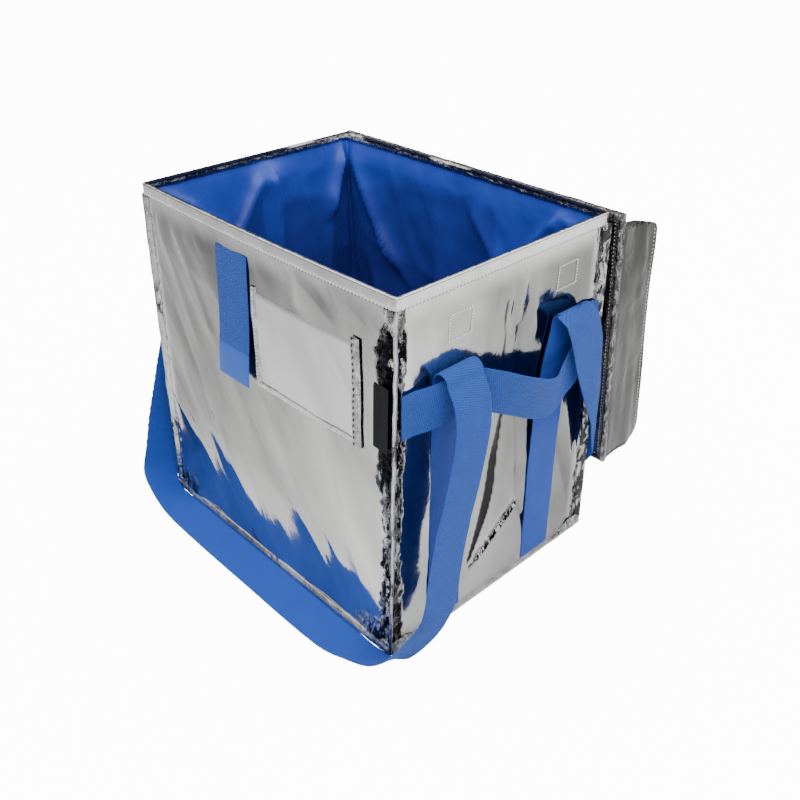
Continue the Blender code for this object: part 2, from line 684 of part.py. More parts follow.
def build_handles():
    """A grab handle at each end, sewn into both of the end's corner seams."""
    for side, end in ((1, "right"), (-1, "left")):
        seam = half_depth(HANDLE_HEIGHT + WEB_WIDTH / 2) - SEAM_WING - 2 * FIT_GAP
        stations = [(LEG_PLANE, -seam, HANDLE_HEIGHT, 0.0)]
        for place, out, rise, sag, lean in HANDLE_SHARES:
            stations.append((LEG_PLANE + out * HANDLE_BULGE, place * TOP_DEPTH / 2,
                             HANDLE_HEIGHT + rise * HANDLE_RISE - sag * HANDLE_SAG, lean))
        stations.append((LEG_PLANE, seam, HANDLE_HEIGHT, 0.0))
        rows = smooth_rows(stations, RIBBON_STEPS)
        centres = [Vector((side * max(row[0], LEG_PLANE), row[1], row[2])) for row in rows]
        widths = [Vector((side * row[3], 0.0, 1.0)).normalized() for row in rows]
        rings = ribbon_rings(centres, widths, WEB_WIDTH, WEB_THICKNESS, square=False)
        pivot = (side * (HALF_WIDTH + FIT_GAP), 0, HANDLE_HEIGHT + WEB_WIDTH / 2)
        add_loft("grab_handle_" + end, rings, WEBBING, pivot)


HINGE_PLACE = TOP_DEPTH / 2 + LID_HINGE_BEHIND
HINGE_HEIGHT = BAG_HEIGHT + LID_HINGE_ABOVE
LID_LEAN = math.atan(((BASE_DEPTH - TOP_DEPTH) / 2 + LID_SPREAD) / HINGE_HEIGHT)
WING_INNER = HALF_WIDTH + BINDING_FACE + SEAM_STEM + WING_CLEARANCE
WING_THICKNESS = SKIN_THICKNESS + WING_FOAM + LINER_THICKNESS + 2 * FIT_GAP
LID_HALF_WIDTH = WING_INNER + WING_THICKNESS
LID_FACE = LID_INNER_OFFSET + LINER_THICKNESS + FOAM_THICKNESS + SKIN_THICKNESS + 2 * FIT_GAP


def lid_point(along, across, outward):
    """A point of the hanging lid: distance from its hinge, place along X, and
    distance out of its foil side, all from the hinge line."""
    return Vector((across, HINGE_PLACE + along * math.sin(LID_LEAN) - outward * math.cos(LID_LEAN),
                   HINGE_HEIGHT - along * math.cos(LID_LEAN) - outward * math.sin(LID_LEAN)))


def lid_plate(name, inset, near, thickness, finish):
    """One flat layer of the lid."""
    wide = LID_HALF_WIDTH - inset
    corners = ((LID_ROOT + inset, -wide), (LID_ROOT + inset, wide),
               (LID_LENGTH - inset, wide), (LID_LENGTH - inset, -wide))
    rings = [[lid_point(along, across, outward) for along, across in corners]
             for outward in (near, near + thickness)]
    add_loft(name, rings, finish, (0, HINGE_PLACE, HINGE_HEIGHT))


def build_lid():
    """The lid's liner, foam and foil layers, and the tape round its edge."""
    inner = LID_INNER_OFFSET
    edge = BINDING_THICKNESS + FIT_GAP
    lid_plate("lid_liner", edge, inner, LINER_THICKNESS, LINER)
    foam = inner + LINER_THICKNESS + FIT_GAP
    lid_plate("lid_foam", edge, foam, FOAM_THICKNESS, FOAM)
    skin = foam + FOAM_THICKNESS + FIT_GAP
    lid_plate("lid_skin", edge, skin, SKIN_THICKNESS, FOIL)
    out_face = LID_FACE
    wide = LID_HALF_WIDTH
    tape = ((0.0, inner), (0.0, out_face + BINDING_FACE), (LID_EDGE_BINDING, out_face + BINDING_FACE),
            (LID_EDGE_BINDING, out_face + FIT_GAP), (BINDING_THICKNESS, out_face + FIT_GAP),
            (BINDING_THICKNESS, inner))
    rings = []
    for along_end, across_end in ((LID_ROOT, -1), (LID_ROOT, 1), (LID_LENGTH, 1), (LID_LENGTH, -1)):
        inward = 1 if along_end == LID_ROOT else -1
        rings.append([lid_point(along_end + inward * step, across_end * (wide - step), outward)
                      for step, outward in tape])
    add_loft("lid_binding", rings, BINDING_FOIL, (0, HINGE_PLACE, HINGE_HEIGHT), closed=True)


def wing_outline(inset):
    """A wing's outline with round outer corners: (along the lid, out of it)."""
    start = LID_ROOT + WING_END_INSET + inset
    stop = LID_LENGTH - FIT_GAP - inset
    root = LID_INNER_OFFSET - FIT_GAP - inset
    tip = root - WING_HEIGHT + 2 * inset
    radius = WING_CORNER_RADIUS - inset
    outline = [(start, root), (stop, root)]
    for middle, first in ((stop - radius, 0.0), (start + radius, math.pi / 2)):
        for step in range(ARC_STEPS + 1):
            turn = first + math.pi / 2 * step / ARC_STEPS
            outline.append((middle + radius * math.cos(turn), tip + radius - radius * math.sin(turn)))
    return outline


def build_wings():
    """The two side wings that hang from the lid's edges, each in three layers."""
    layers = (("liner", LINER_THICKNESS, LINER, 0.0), ("foam", WING_FOAM, FOAM, BINDING_THICKNESS),
              ("skin", SKIN_THICKNESS, FOIL, 0.0))
    for side, end in ((1, "right"), (-1, "left")):
        near = WING_INNER
        for layer, thickness, finish, inset in layers:
            outline = wing_outline(inset)
            rings = [[lid_point(along, side * across, outward) for along, outward in outline]
                     for across in (near, near + thickness)]
            add_loft("lid_wing_" + end + "_" + layer, rings, finish,
                     lid_point(LID_ROOT, side * LID_HALF_WIDTH, LID_INNER_OFFSET))
            near += thickness + FIT_GAP


def build_hinge_tape():
    """The folded tape on the back wall, under the rim, that carries the lid."""
    high = BINDING_BOTTOM - FIT_GAP
    low = high - HINGE_TAPE_HEIGHT
    wide = HALF_WIDTH - SEAM_WING - FIT_GAP
    thick = HINGE_TAPE_THICKNESS
    along = (HINGE_HEIGHT - high) / math.cos(LID_LEAN)
    lid_face = lid_point(along, 0, LID_FACE).y - FIT_GAP
    reach = lid_face - half_depth(high)
    profile = ((FIT_GAP, low), (FIT_GAP, high), (reach, high), (reach, high - thick),
               (FIT_GAP + thick, high - thick), (FIT_GAP + thick, low))
    rings = [[(x, half_depth(height) + out, height) for out, height in profile] for x in (-wide, wide)]
    add_loft("lid_hinge_tape", rings, BINDING_FOIL)


def main():
    """Build the whole tote."""
    clear_scene()
    build_walls()
    build_base()
    build_liner()
    build_bindings()
    build_front_trim()
    build_patches()
    build_closure_strap()
    build_strap_ends()
    build_front_strap()
    build_back_strap()
    build_handles()
    build_lid()
    build_wings()
    build_hinge_tape()


main()
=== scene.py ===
"""Looks of the insulated delivery tote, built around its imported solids.

Frame: +X runs right along the front, +Y towards the hinged lid, +Z up; metres.
"""

from __future__ import annotations

import logging
import math
from dataclasses import dataclass
from enum import Enum
from itertools import product

import bmesh
import bpy
import numpy as np
from mathutils import Matrix, Vector


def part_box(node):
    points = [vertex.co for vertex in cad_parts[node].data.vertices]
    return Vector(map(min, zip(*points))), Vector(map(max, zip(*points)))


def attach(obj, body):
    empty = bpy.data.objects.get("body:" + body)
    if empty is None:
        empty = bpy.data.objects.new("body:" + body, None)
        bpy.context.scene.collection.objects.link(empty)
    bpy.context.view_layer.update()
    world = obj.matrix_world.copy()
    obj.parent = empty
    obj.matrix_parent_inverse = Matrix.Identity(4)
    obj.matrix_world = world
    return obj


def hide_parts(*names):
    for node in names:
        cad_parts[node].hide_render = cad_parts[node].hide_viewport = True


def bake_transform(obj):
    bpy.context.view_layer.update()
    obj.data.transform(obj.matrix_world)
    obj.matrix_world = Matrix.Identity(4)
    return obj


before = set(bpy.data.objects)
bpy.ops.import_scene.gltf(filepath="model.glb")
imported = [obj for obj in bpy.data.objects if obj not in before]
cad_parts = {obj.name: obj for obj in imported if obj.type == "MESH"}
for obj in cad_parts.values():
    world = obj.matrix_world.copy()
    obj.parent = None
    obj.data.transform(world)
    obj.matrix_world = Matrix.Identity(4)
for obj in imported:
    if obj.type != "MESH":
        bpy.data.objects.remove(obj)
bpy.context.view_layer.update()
log = logging.getLogger("tote")

Array = np.ndarray
Tree = bpy.types.NodeTree
UP = np.array((0.0, 0.0, 1.0))
RIBBON_COLUMNS = 9
HASH_FACTORS = (73856093, 19349663, 83492791, 2654435761)
HASH_MIXER = 1274126177
HASH_TOP = 0xFFFFFFFF


# Finishes


class Side(Enum):
    """The two ends of the tote, by the sign of X."""

    RIGHT = 1
    LEFT = -1

    @property
    def word(self) -> str:
        """The side's name as it stands in piece names."""
        return self.name.lower()


def new_group(name: str, inputs: dict[str, tuple[str, float]], outputs: dict[str, str]) -> tuple:
    """Start a shader node group.

    Args:
        name: the group's name.
        inputs: socket name to socket kind and default value.
        outputs: socket name to socket kind.

    Returns:
        The tree, its input node and its output node.
    """
    tree = bpy.data.node_groups.new(name, "ShaderNodeTree")
    for socket, (kind, value) in inputs.items():
        made = tree.interface.new_socket(socket, in_out="INPUT", socket_type="NodeSocket" + kind)
        if kind == "Float":
            made.default_value = value
    for socket, kind in outputs.items():
        tree.interface.new_socket(socket, in_out="OUTPUT", socket_type="NodeSocket" + kind)
    return tree, tree.nodes.new("NodeGroupInput"), tree.nodes.new("NodeGroupOutput")


def wire(tree: Tree, source: object, target: object) -> None:
    """Feed an input from another node's output, or set it to a plain value."""
    if isinstance(source, bpy.types.NodeSocket):
        tree.links.new(source, target)
    else:
        target.default_value = source


def math_node(tree: Tree, how: str, *values: object) -> object:
    """A Math node fed by numbers or sockets.

    Args:
        tree: the tree that takes the node.
        how: the node's operation.
        values: a number or an output socket for each input.

    Returns:
        The node's output socket.
    """
    node = tree.nodes.new("ShaderNodeMath")
    node.operation = how
    for place, value in enumerate(values):
        wire(tree, value, node.inputs[place])
    return node.outputs[0]


def times(tree: Tree, first: object, *others: object) -> object:
    """The product of sockets and numbers."""
    for other in others:
        first = math_node(tree, "MULTIPLY", first, other)
    return first


def plus(tree: Tree, first: object, *others: object) -> object:
    """The sum of sockets and numbers."""
    for other in others:
        first = math_node(tree, "ADD", first, other)
    return first


def size_of(tree: Tree, value: object, middle: float = 0.0) -> object:
    """How far a value lies from a middle one."""
    return math_node(tree, "ABSOLUTE", math_node(tree, "SUBTRACT", value, middle) if middle else value)


def clamped(tree: Tree, value: object) -> object:
    """A value held between 0 and 1."""
    node = tree.nodes.new("ShaderNodeClamp")
    wire(tree, value, node.inputs[0])
    return node.outputs[0]


def noise_node(tree: Tree, vector: object, scale: float, detail: float, rough: float = 0.5,
               warp: float = 0.0) -> object:
    """A Noise texture's value output."""
    node = tree.nodes.new("ShaderNodeTexNoise")
    for socket, value in (("Vector", vector), ("Scale", scale), ("Detail", detail), ("Roughness", rough),
                          ("Distortion", warp)):
        wire(tree, value, node.inputs[socket])
    return node.outputs["Fac"]


def stretched(tree: Tree, vector: object, share: float) -> object:
    """A place whose height counts by a share, which draws a texture out upwards."""
    node = tree.nodes.new("ShaderNodeVectorMath")
    node.operation = "MULTIPLY"
    node.inputs[1].default_value = (1.0, 1.0, share)
    wire(tree, vector, node.inputs[0])
    return node.outputs[0]


def mix_node(tree: Tree, share: object, low: object, high: object) -> object:
    """Mix two colours, each three numbers or a socket, by a value socket."""
    node = tree.nodes.new("ShaderNodeMix")
    node.data_type = "RGBA"
    wire(tree, share, node.inputs[0])
    for place, colour in ((6, low), (7, high)):
        wire(tree, (*colour, 1.0) if isinstance(colour, tuple) else colour, node.inputs[place])
    return node.outputs[2]


def ramp_node(tree: Tree, value: object, *stops: tuple[float, tuple]) -> object:
    """A colour ramp between two stops, each a place and a colour."""
    node = tree.nodes.new("ShaderNodeValToRGB")
    for element, (place, colour) in zip(node.color_ramp.elements, stops):
        element.position, element.color = place, (*colour, 1.0)
    wire(tree, value, node.inputs[0])
    return node.outputs[0]


def camera_rays(tree: Tree) -> object:
    """1 where the camera looks, 0 for light that bounces."""
    return tree.nodes.new("ShaderNodeLightPath").outputs["Is Camera Ray"]


def crinkle_group() -> Tree:
    """Heights of crinkled film: long soft waves, fine creases and crumples; also painted sheen streaks, which
    spread its roughness too, and painted dark patches in its crumples.
    """
    tree, given, made = new_group(
        "film_crinkle",
        {"Vector": ("Vector", 0), "Waves": ("Float", 1.0), "Creases": ("Float", 1.0),
         "Crumple": ("Float", 0.0)},
        {"Height": "Float", "PaintedSheenAndRoughness": "Float", "Hollow": "Float"})
    vector = given.outputs["Vector"]
    slant = tree.nodes.new("ShaderNodeVectorRotate")
    slant.rotation_type = "Y_AXIS"
    slant.inputs["Angle"].default_value = 0.52
    wire(tree, vector, slant.inputs["Vector"])
    drawn = stretched(tree, slant.outputs[0], 0.36)
    waves = times(tree, noise_node(tree, drawn, 15.0, 1.0, 0.4, 0.5), given.outputs["Waves"], 0.0034)
    fold = size_of(tree, noise_node(tree, drawn, 40.0, 1.0, 0.45, 0.8), 0.5)
    fold = math_node(tree, "POWER", times(tree, fold, 2.0), 0.7)
    fold = times(tree, fold, given.outputs["Creases"], -0.00055)
    cells = tree.nodes.new("ShaderNodeTexVoronoi")
    cells.inputs["Scale"].default_value = 150.0
    wire(tree, vector, cells.inputs["Vector"])
    ridge = size_of(tree, noise_node(tree, vector, 95.0, 4.0, 0.62, 0.8), 0.5)
    crush = plus(tree, times(tree, cells.outputs["Distance"], 0.9), times(tree, ridge, -3.2))
    crush = times(tree, crush, given.outputs["Crumple"], 0.0024)
    wire(tree, plus(tree, waves, fold, crush), made.inputs["Height"])
    # Painted sheen: streaks drawn out along the slant darken the colour between them; the same field spreads
    # the roughness
    painted_sheen_and_roughness = plus(tree, noise_node(tree, drawn, 8.0, 2.0),
                  times(tree, noise_node(tree, drawn, 30.0, 2.0, 0.5, 0.5), 0.8))
    painted_sheen_and_roughness = math_node(tree, "MULTIPLY_ADD", painted_sheen_and_roughness, 2.2, -1.48)
    wire(tree, clamped(tree, painted_sheen_and_roughness), made.inputs["PaintedSheenAndRoughness"])
    # Painted dark patches in the crumples, in place of the dark reflections of crushed foil
    patch = noise_node(tree, stretched(tree, vector, 0.30), 170.0, 3.0, 0.6, 1.4)
    hollow = times(tree, math_node(tree, "SUBTRACT", patch, 0.44), 14.0)
    wire(tree, clamped(tree, hollow), made.inputs["Hollow"])
    return tree


def weave_group() -> Tree:
    """Heights of narrow-woven webbing from the strap's own length and width, and the painted shade that
    darkens the grooves between its ribs.
    """
    tree, given, made = new_group(
        "webbing_weave", {"Vector": ("Vector", 0), "Pitch": ("Float", 0.0017), "Fray": ("Float", 0.3)},
        {"Height": "Float", "Shade": "Float"})
    vector, pitch = given.outputs["Vector"], given.outputs["Pitch"]
    split = tree.nodes.new("ShaderNodeSeparateXYZ")
    wire(tree, vector, split.inputs[0])
    across = math_node(tree, "DIVIDE", split.outputs["X"], pitch)
    along = math_node(tree, "DIVIDE", split.outputs["Y"], pitch)
    column = math_node(tree, "FLOOR", across)
    step = plus(tree, times(tree, across, 0.8), times(tree, column, 0.5))
    slant = plus(tree, times(tree, along, 1.35), step)
    ribs = size_of(tree, math_node(tree, "SINE", times(tree, slant, math.pi)))
    ends = size_of(tree, math_node(tree, "SINE", times(tree, across, math.pi)))
    ends = math_node(tree, "POWER", ends, 0.35)
    fray = times(tree, noise_node(tree, vector, 900.0, 3.0), given.outputs["Fray"])
    cloth = plus(tree, times(tree, ribs, ends), fray)
    wire(tree, cloth, made.inputs["Height"])
    wire(tree, plus(tree, times(tree, cloth, 0.80), 0.30), made.inputs["Shade"])
    return tree


class ShaderGroups:
    """The node groups that several finishes share, each built once."""

    def __init__(self) -> None:
        """Build the groups."""
        self.crinkle = crinkle_group()
        self.weave = weave_group()


class FinishBench:
    """Makes the tote's materials."""

    def __init__(self, groups: ShaderGroups) -> None:
        """Keep the shared groups."""
        self.groups = groups

    def start(self, name: str, colour: tuple[float, float, float], rough: float, metal: float = 0.0) -> tuple:
        """A material with its Principled shader.

        Returns:
            The material, its tree and its shader node.
        """
        made = bpy.data.materials.new(name)
        made.use_nodes = True
        tree = made.node_tree
        shader = tree.nodes["Principled BSDF"]
        shader.inputs["Base Color"].default_value = (*colour, 1.0)
        shader.inputs["Roughness"].default_value = rough
        shader.inputs["Metallic"].default_value = metal
        return made, tree, shader

    def attribute(self, tree: Tree, name: str) -> object:
        """A number kept at each of the mesh's points."""
        node = tree.nodes.new("ShaderNodeAttribute")
        node.attribute_name = name
        return node.outputs["Fac"]

    def bump(self, tree: Tree, shader: object, height: object, distance: float,
             strength: float = 1.0) -> None:
        """Feed a height to the shader's normal."""
        node = tree.nodes.new("ShaderNodeBump")
        node.inputs["Strength"].default_value = strength
        node.inputs["Distance"].default_value = distance
        wire(tree, height, node.inputs["Height"])
        wire(tree, node.outputs["Normal"], shader.inputs["Normal"])

    def film(self, spec: Film) -> bpy.types.Material:
        """Crinkled metallised or plain film, with painted sheen streaks, painted dark crumple patches and
        painted shade in its colour.
        """
        made, tree, shader = self.start(spec.name, spec.colour, spec.rough, spec.metal)
        shader.inputs["Coat Weight"].default_value = spec.coat
        shader.inputs["Coat Roughness"].default_value = 0.08
        shader.inputs["Specular IOR Level"].default_value = 0.5 if spec.metal else 0.32
        place = tree.nodes.new("ShaderNodeTexCoord")
        crinkle = tree.nodes.new("ShaderNodeGroup")
        crinkle.node_tree = self.groups.crinkle
        wire(tree, place.outputs["Object"], crinkle.inputs["Vector"])
        crinkle.inputs["Waves"].default_value = spec.waves
        crinkle.inputs["Creases"].default_value = spec.creases
        mask = self.attribute(tree, "crumple")
        amount = math_node(tree, "MULTIPLY_ADD", mask, spec.crush, spec.crumple)
        wire(tree, amount, crinkle.inputs["Crumple"])
        self.bump(tree, shader, crinkle.outputs["Height"], 1.0)
        # Painted sheen streaks: between them the colour falls to its shade share of itself
        low = tuple(part * spec.shade for part in spec.colour)
        tint = mix_node(tree, crinkle.outputs["PaintedSheenAndRoughness"], low, spec.colour)
        # Painted dark: the crumple patches, weighted by dents, and the mesh's painted shade, both mixed
        # towards the deep colour
        if spec.dents:
            reach = math_node(tree, "MINIMUM", times(tree, mask, 1.8), 1.0)
            hollow = times(tree, crinkle.outputs["Hollow"], reach, spec.dents)
            hollow = math_node(tree, "MAXIMUM", hollow, self.attribute(tree, "painted_shade"))
            tint = mix_node(tree, hollow, tint, spec.deep)
        wire(tree, tint, shader.inputs["Base Color"])
        painted_sheen_and_roughness = crinkle.outputs["PaintedSheenAndRoughness"]
        spread = math_node(tree, "MULTIPLY_ADD", painted_sheen_and_roughness, spec.rough * 0.7, spec.rough * 0.6)
        wire(tree, spread, shader.inputs["Roughness"])
        return made

    def webbing(self, spec: Webbing) -> bpy.types.Material:
        """Woven strap, ribbed or plain."""
        made, tree, shader = self.start(spec.name, spec.colour, spec.rough)
        shader.inputs["Sheen Weight"].default_value = 0.05
        shader.inputs["Sheen Roughness"].default_value = 0.4
        shader.inputs["Specular IOR Level"].default_value = 0.2
        place = tree.nodes.new("ShaderNodeUVMap")
        place.uv_map = "Strap"
        weave = tree.nodes.new("ShaderNodeGroup")
        weave.node_tree = self.groups.weave
        weave.inputs["Pitch"].default_value = spec.pitch
        weave.inputs["Fray"].default_value = 0.3
        wire(tree, place.outputs["UV"], weave.inputs["Vector"])
        self.bump(tree, shader, weave.outputs["Height"], spec.relief)
        # Painted shade: the grooves between the ribs are darkened
        dark = tuple(part * spec.contrast for part in spec.colour)
        wire(tree, mix_node(tree, weave.outputs["Shade"], dark, spec.colour), shader.inputs["Base Color"])
        return made

    def thread(self, name: str, colour: tuple[float, float, float]) -> bpy.types.Material:
        """Twisted sewing thread."""
        made, tree, shader = self.start(name, colour, 0.55)
        place = tree.nodes.new("ShaderNodeTexCoord")
        wave = tree.nodes.new("ShaderNodeTexWave")
        wave.inputs["Scale"].default_value = 900.0
        wave.bands_direction = "DIAGONAL"
        wire(tree, place.outputs["Object"], wave.inputs["Vector"])
        self.bump(tree, shader, wave.outputs["Fac"], 0.0001, 0.6)
        return made


@dataclass(frozen=True)
class Film:
    """Crinkled film: its colour, gloss, how it is creased, and how its colour is painted with sheen streaks,
    dark crumple patches and shade.
    """

    name: str
    colour: tuple[float, float, float]
    rough: float
    metal: float
    waves: float
    creases: float
    crumple: float
    crush: float
    coat: float = 0.0
    # dents: strength of the painted dark crumple patches; shade: how far the painted sheen streaks darken the
    # colour; deep: the colour that painted shade and painted dark patches mix towards
    dents: float = 0.0
    shade: float = 0.72
    deep: tuple[float, float, float] = (0.003, 0.003, 0.004)


@dataclass(frozen=True)
class Webbing:
    """Woven strap: its colour, the size and depth of its ribs, and how dark the painted shade in its grooves
    goes.
    """

    name: str
    colour: tuple[float, float, float]
    rough: float
    pitch: float
    relief: float
    contrast: float


# A second colour, where given, is deep: the navy of the painted dark reflections on the tape and of the
# painted shade in the liner
FOIL = Film("foil_panel", (0.79, 0.785, 0.765), 0.10, 1.0, 1.1, 0.30, 0.015, 1.0, 0.0, 1.0, 0.66)
TAPE = Film("foil_tape", (0.86, 0.855, 0.84), 0.14, 1.0, 0.8, 0.8, 0.03, 1.1, 0.0, 1.0, 0.72,
            (0.004, 0.006, 0.024))
HEM = Film("foil_hem", (0.80, 0.795, 0.78), 0.33, 1.0, 0.5, 0.8, 0.10, 0.9, 0.0, 0.6)
SEAM = Film("seam_tape", (0.72, 0.72, 0.71), 0.26, 0.95, 0.2, 0.6, 0.10, 0.4, 0.0, 0.9)
# The lid's top foil, its wing foil and its edge tape are darker copies of the wall foil, with shade painted
# into their colour
SHADED_LID_TOP = Film("lid_top_foil_shaded", (0.46, 0.457, 0.445), 0.24, 1.0, 1.3, 0.8, 0.03, 0.9, 0.0, 0.5, 0.62)
SHADED_WING_FOIL = Film("lid_foil_shaded", (0.135, 0.134, 0.130), 0.24, 1.0, 2.0, 1.0, 0.03, 0.9, 0.0, 0.5, 0.50)
SHADED_LID_TAPE = Film("lid_foil_tape_shaded", (0.36, 0.358, 0.35), 0.24, 1.0, 0.6, 0.8, 0.06, 1.0, 0.0, 0.8)
WINDOW = Film("pocket_film", (0.72, 0.72, 0.72), 0.24, 1.0, 0.5, 0.15, 0.0, 0.6, 0.4, 0.0, 0.88)
LINER = Film("blue_liner_film", (0.031, 0.077, 0.48), 0.32, 0.0, 1.0, 0.4, 0.0, 0.5, 0.0, 0.15, 0.88,
             (0.014, 0.010, 0.11))
RIBBED = Webbing("webbing_ribbed", (0.036, 0.134, 0.61), 0.70, 0.0027, 0.00100, 0.28)
PLAIN = Webbing("webbing_plain", (0.020, 0.082, 0.47), 0.60, 0.0011, 0.00010, 0.75)


# Mesh tools


def hash_grid(cell: Array, seed: int) -> Array:
    """Repeatable values in -1 to 1 for whole-number cells."""
    first, second, third, fourth = HASH_FACTORS
    mixed = (cell[..., 0] * first) ^ (cell[..., 1] * second) ^ (cell[..., 2] * third) ^ (seed * fourth)
    mixed = (mixed ^ (mixed >> 13)) & HASH_TOP
    mixed = (mixed * HASH_MIXER) & HASH_TOP
    mixed = (mixed ^ (mixed >> 16)) & HASH_TOP
    return mixed / (HASH_TOP / 2) - 1.0


def noise(points: Array, cell: float | tuple[float, float, float], seed: int) -> Array:
    """Smooth noise in -1 to 1.

    Args:
        points: positions, three numbers each.
        cell: the size of a cell in metres, one or three numbers.
        seed: which of the repeatable fields to read.

    Returns:
        One value for each position.
    """
    place = np.asarray(points, float) / np.asarray(cell, float)
    low = np.floor(place).astype(np.int64)
    part = place - low
    part = part * part * (3 - 2 * part)
    total = np.zeros(place.shape[:-1])
    for corner in product((0, 1), repeat=3):
        step = np.array(corner)
        share = np.prod(np.where(step, part, 1 - part), axis=-1)
        total += share * hash_grid(low + step, seed)
    return total


def ridges(points: Array, cell: float | tuple[float, float, float], seed: int) -> Array:
    """Sharp-crested noise in 0 to 1, highest along its creases."""
    return 1.0 - np.abs(noise(points, cell, seed)) * 2.0


def smooth_step(value: Array | float, low: float, high: float) -> Array:
    """0 below low, 1 above high, smooth between; it falls from 1 to 0 where low is the greater."""
    t = np.clip((np.asarray(value, float) - low) / (high - low), 0.0, 1.0)
    return t * t * (3 - 2 * t)


def stacked(*parts: Array | float) -> Array:
    """Arrays and numbers spread to one shape, side by side in a last axis."""
    return np.stack(np.broadcast_arrays(*parts), -1)


def unit(vectors: Array) -> Array:
    """Vectors scaled to length 1."""
    size = np.linalg.norm(vectors, axis=-1, keepdims=True)
    return vectors / np.maximum(size, 1e-12)


def spline(rows: Array, steps: int) -> Array:
    """Catmull-Rom values through rows of numbers, evenly spaced in each span."""
    rows = np.asarray(rows, float)
    ends = np.vstack([2 * rows[:1] - rows[1:2], rows, 2 * rows[-1:] - rows[-2:-1]])
    made = []
    for a, b, c, d in zip(ends, ends[1:], ends[2:], ends[3:]):
        for step in range(steps):
            t = step / steps
            made.append(0.5 * (2 * b + (c - a) * t + (2 * a - 5 * b + 4 * c - d) * t * t
                               + (3 * b - a - 3 * c + d) * t ** 3))
    made.append(rows[-1])
    return np.array(made)


def run_length(path: Array) -> Array:
    """Distance along a path at each of its points."""
    steps = np.linalg.norm(np.diff(path, axis=0), axis=1)
    return np.concatenate([[0.0], np.cumsum(steps)])


def resample(path: Array, spacing: float) -> Array:
    """The path read again at even distances; extra columns are carried along."""
    place = run_length(path[:, :3])
    count = max(3, int(round(place[-1] / spacing)) + 1)
    wanted = np.linspace(0.0, place[-1], count)
    return np.stack([np.interp(wanted, place, path[:, column]) for column in range(path.shape[1])], axis=1)


def grid_faces(rows: int, columns: int, start: int = 0, wrap: bool = False, flip: bool = False) -> list:
    """Quads over a grid of points held row by row."""
    faces = []
    last = columns if wrap else columns - 1
    for row in range(rows - 1):
        for column in range(last):
            a = start + row * columns + column
            b = start + row * columns + (column + 1) % columns
            quad = (a, b, b + columns, a + columns)
            faces.append(quad[::-1] if flip else quad)
    return faces


def ring_faces(rows: int, columns: int) -> list:
    """Quads over a grid of points that closes on itself both ways."""
    faces = []
    for row in range(rows):
        for column in range(columns):
            after, beside = (row + 1) % rows * columns, (column + 1) % columns
            faces.append((row * columns + column, after + column, after + beside, row * columns + beside))
    return faces


def outline(corners: Array, steps: int) -> Array:
    """Even points along the straight sides between corners, with the last corner."""
    share = np.linspace(0, 1, steps, endpoint=False)[:, None]
    return np.vstack([a + (b - a) * share for a, b in zip(corners, corners[1:])] + [corners[-1:]])


def grid_normals(points: Array) -> Array:
    """Unit normals of a grid of points, from its rows and columns."""
    along = np.gradient(points, axis=0)
    across = np.gradient(points, axis=1)
    return unit(np.cross(along, across))


def add_mesh(name: str, points: Array, faces: list, finishes: list[bpy.types.Material],
             which: list[int] | None = None, uvs: Array | None = None, crumple: Array | None = None,
             painted_shade: Array | None = None, smooth: bool = True) -> bpy.types.Object:
    """A mesh object at the origin.

    Args:
        name: the piece's name.
        points: its vertices.
        faces: its faces, as tuples of vertex numbers.
        finishes: its materials.
        which: a material number for each face.
        uvs: a pair of metres for each vertex, kept as the Strap map.
        crumple: how crumpled the film is at each vertex.
        painted_shade: painted shade, how dark the film is painted at each vertex in place of shade and dark
            reflections.
        smooth: whether its faces are shaded smooth.

    Returns:
        The object.
    """
    mesh = bpy.data.meshes.new(name)
    mesh.from_pydata(np.asarray(points, float).reshape(-1, 3).tolist(), [], faces)
    for finish in finishes:
        mesh.materials.append(finish)
    if which is not None:
        mesh.polygons.foreach_set("material_index", np.asarray(which, np.int32))
    mesh.polygons.foreach_set("use_smooth", np.full(len(mesh.polygons), smooth))
    if uvs is not None:
        layer = mesh.uv_layers.new(name="Strap")
        corner = np.empty(len(mesh.loops), np.int32)
        mesh.loops.foreach_get("vertex_index", corner)
        layer.data.foreach_set("uv", np.asarray(uvs, np.float32)[corner].ravel())
    for label, values in (("crumple", crumple), ("painted_shade", painted_shade)):
        if values is not None:
            mask = mesh.attributes.new(label, "FLOAT", "POINT")
            mask.data.foreach_set("value", np.asarray(values, np.float32).ravel())
    mesh.update()
    made = bpy.data.objects.new(name, mesh)
    bpy.context.scene.collection.objects.link(made)
    return made


def fix_normals(made: bpy.types.Object) -> None:
    """Point a closed piece's faces outwards."""
    shape = bmesh.new()
    shape.from_mesh(made.data)
    bmesh.ops.recalc_face_normals(shape, faces=shape.faces)
    shape.to_mesh(made.data)
    shape.free()


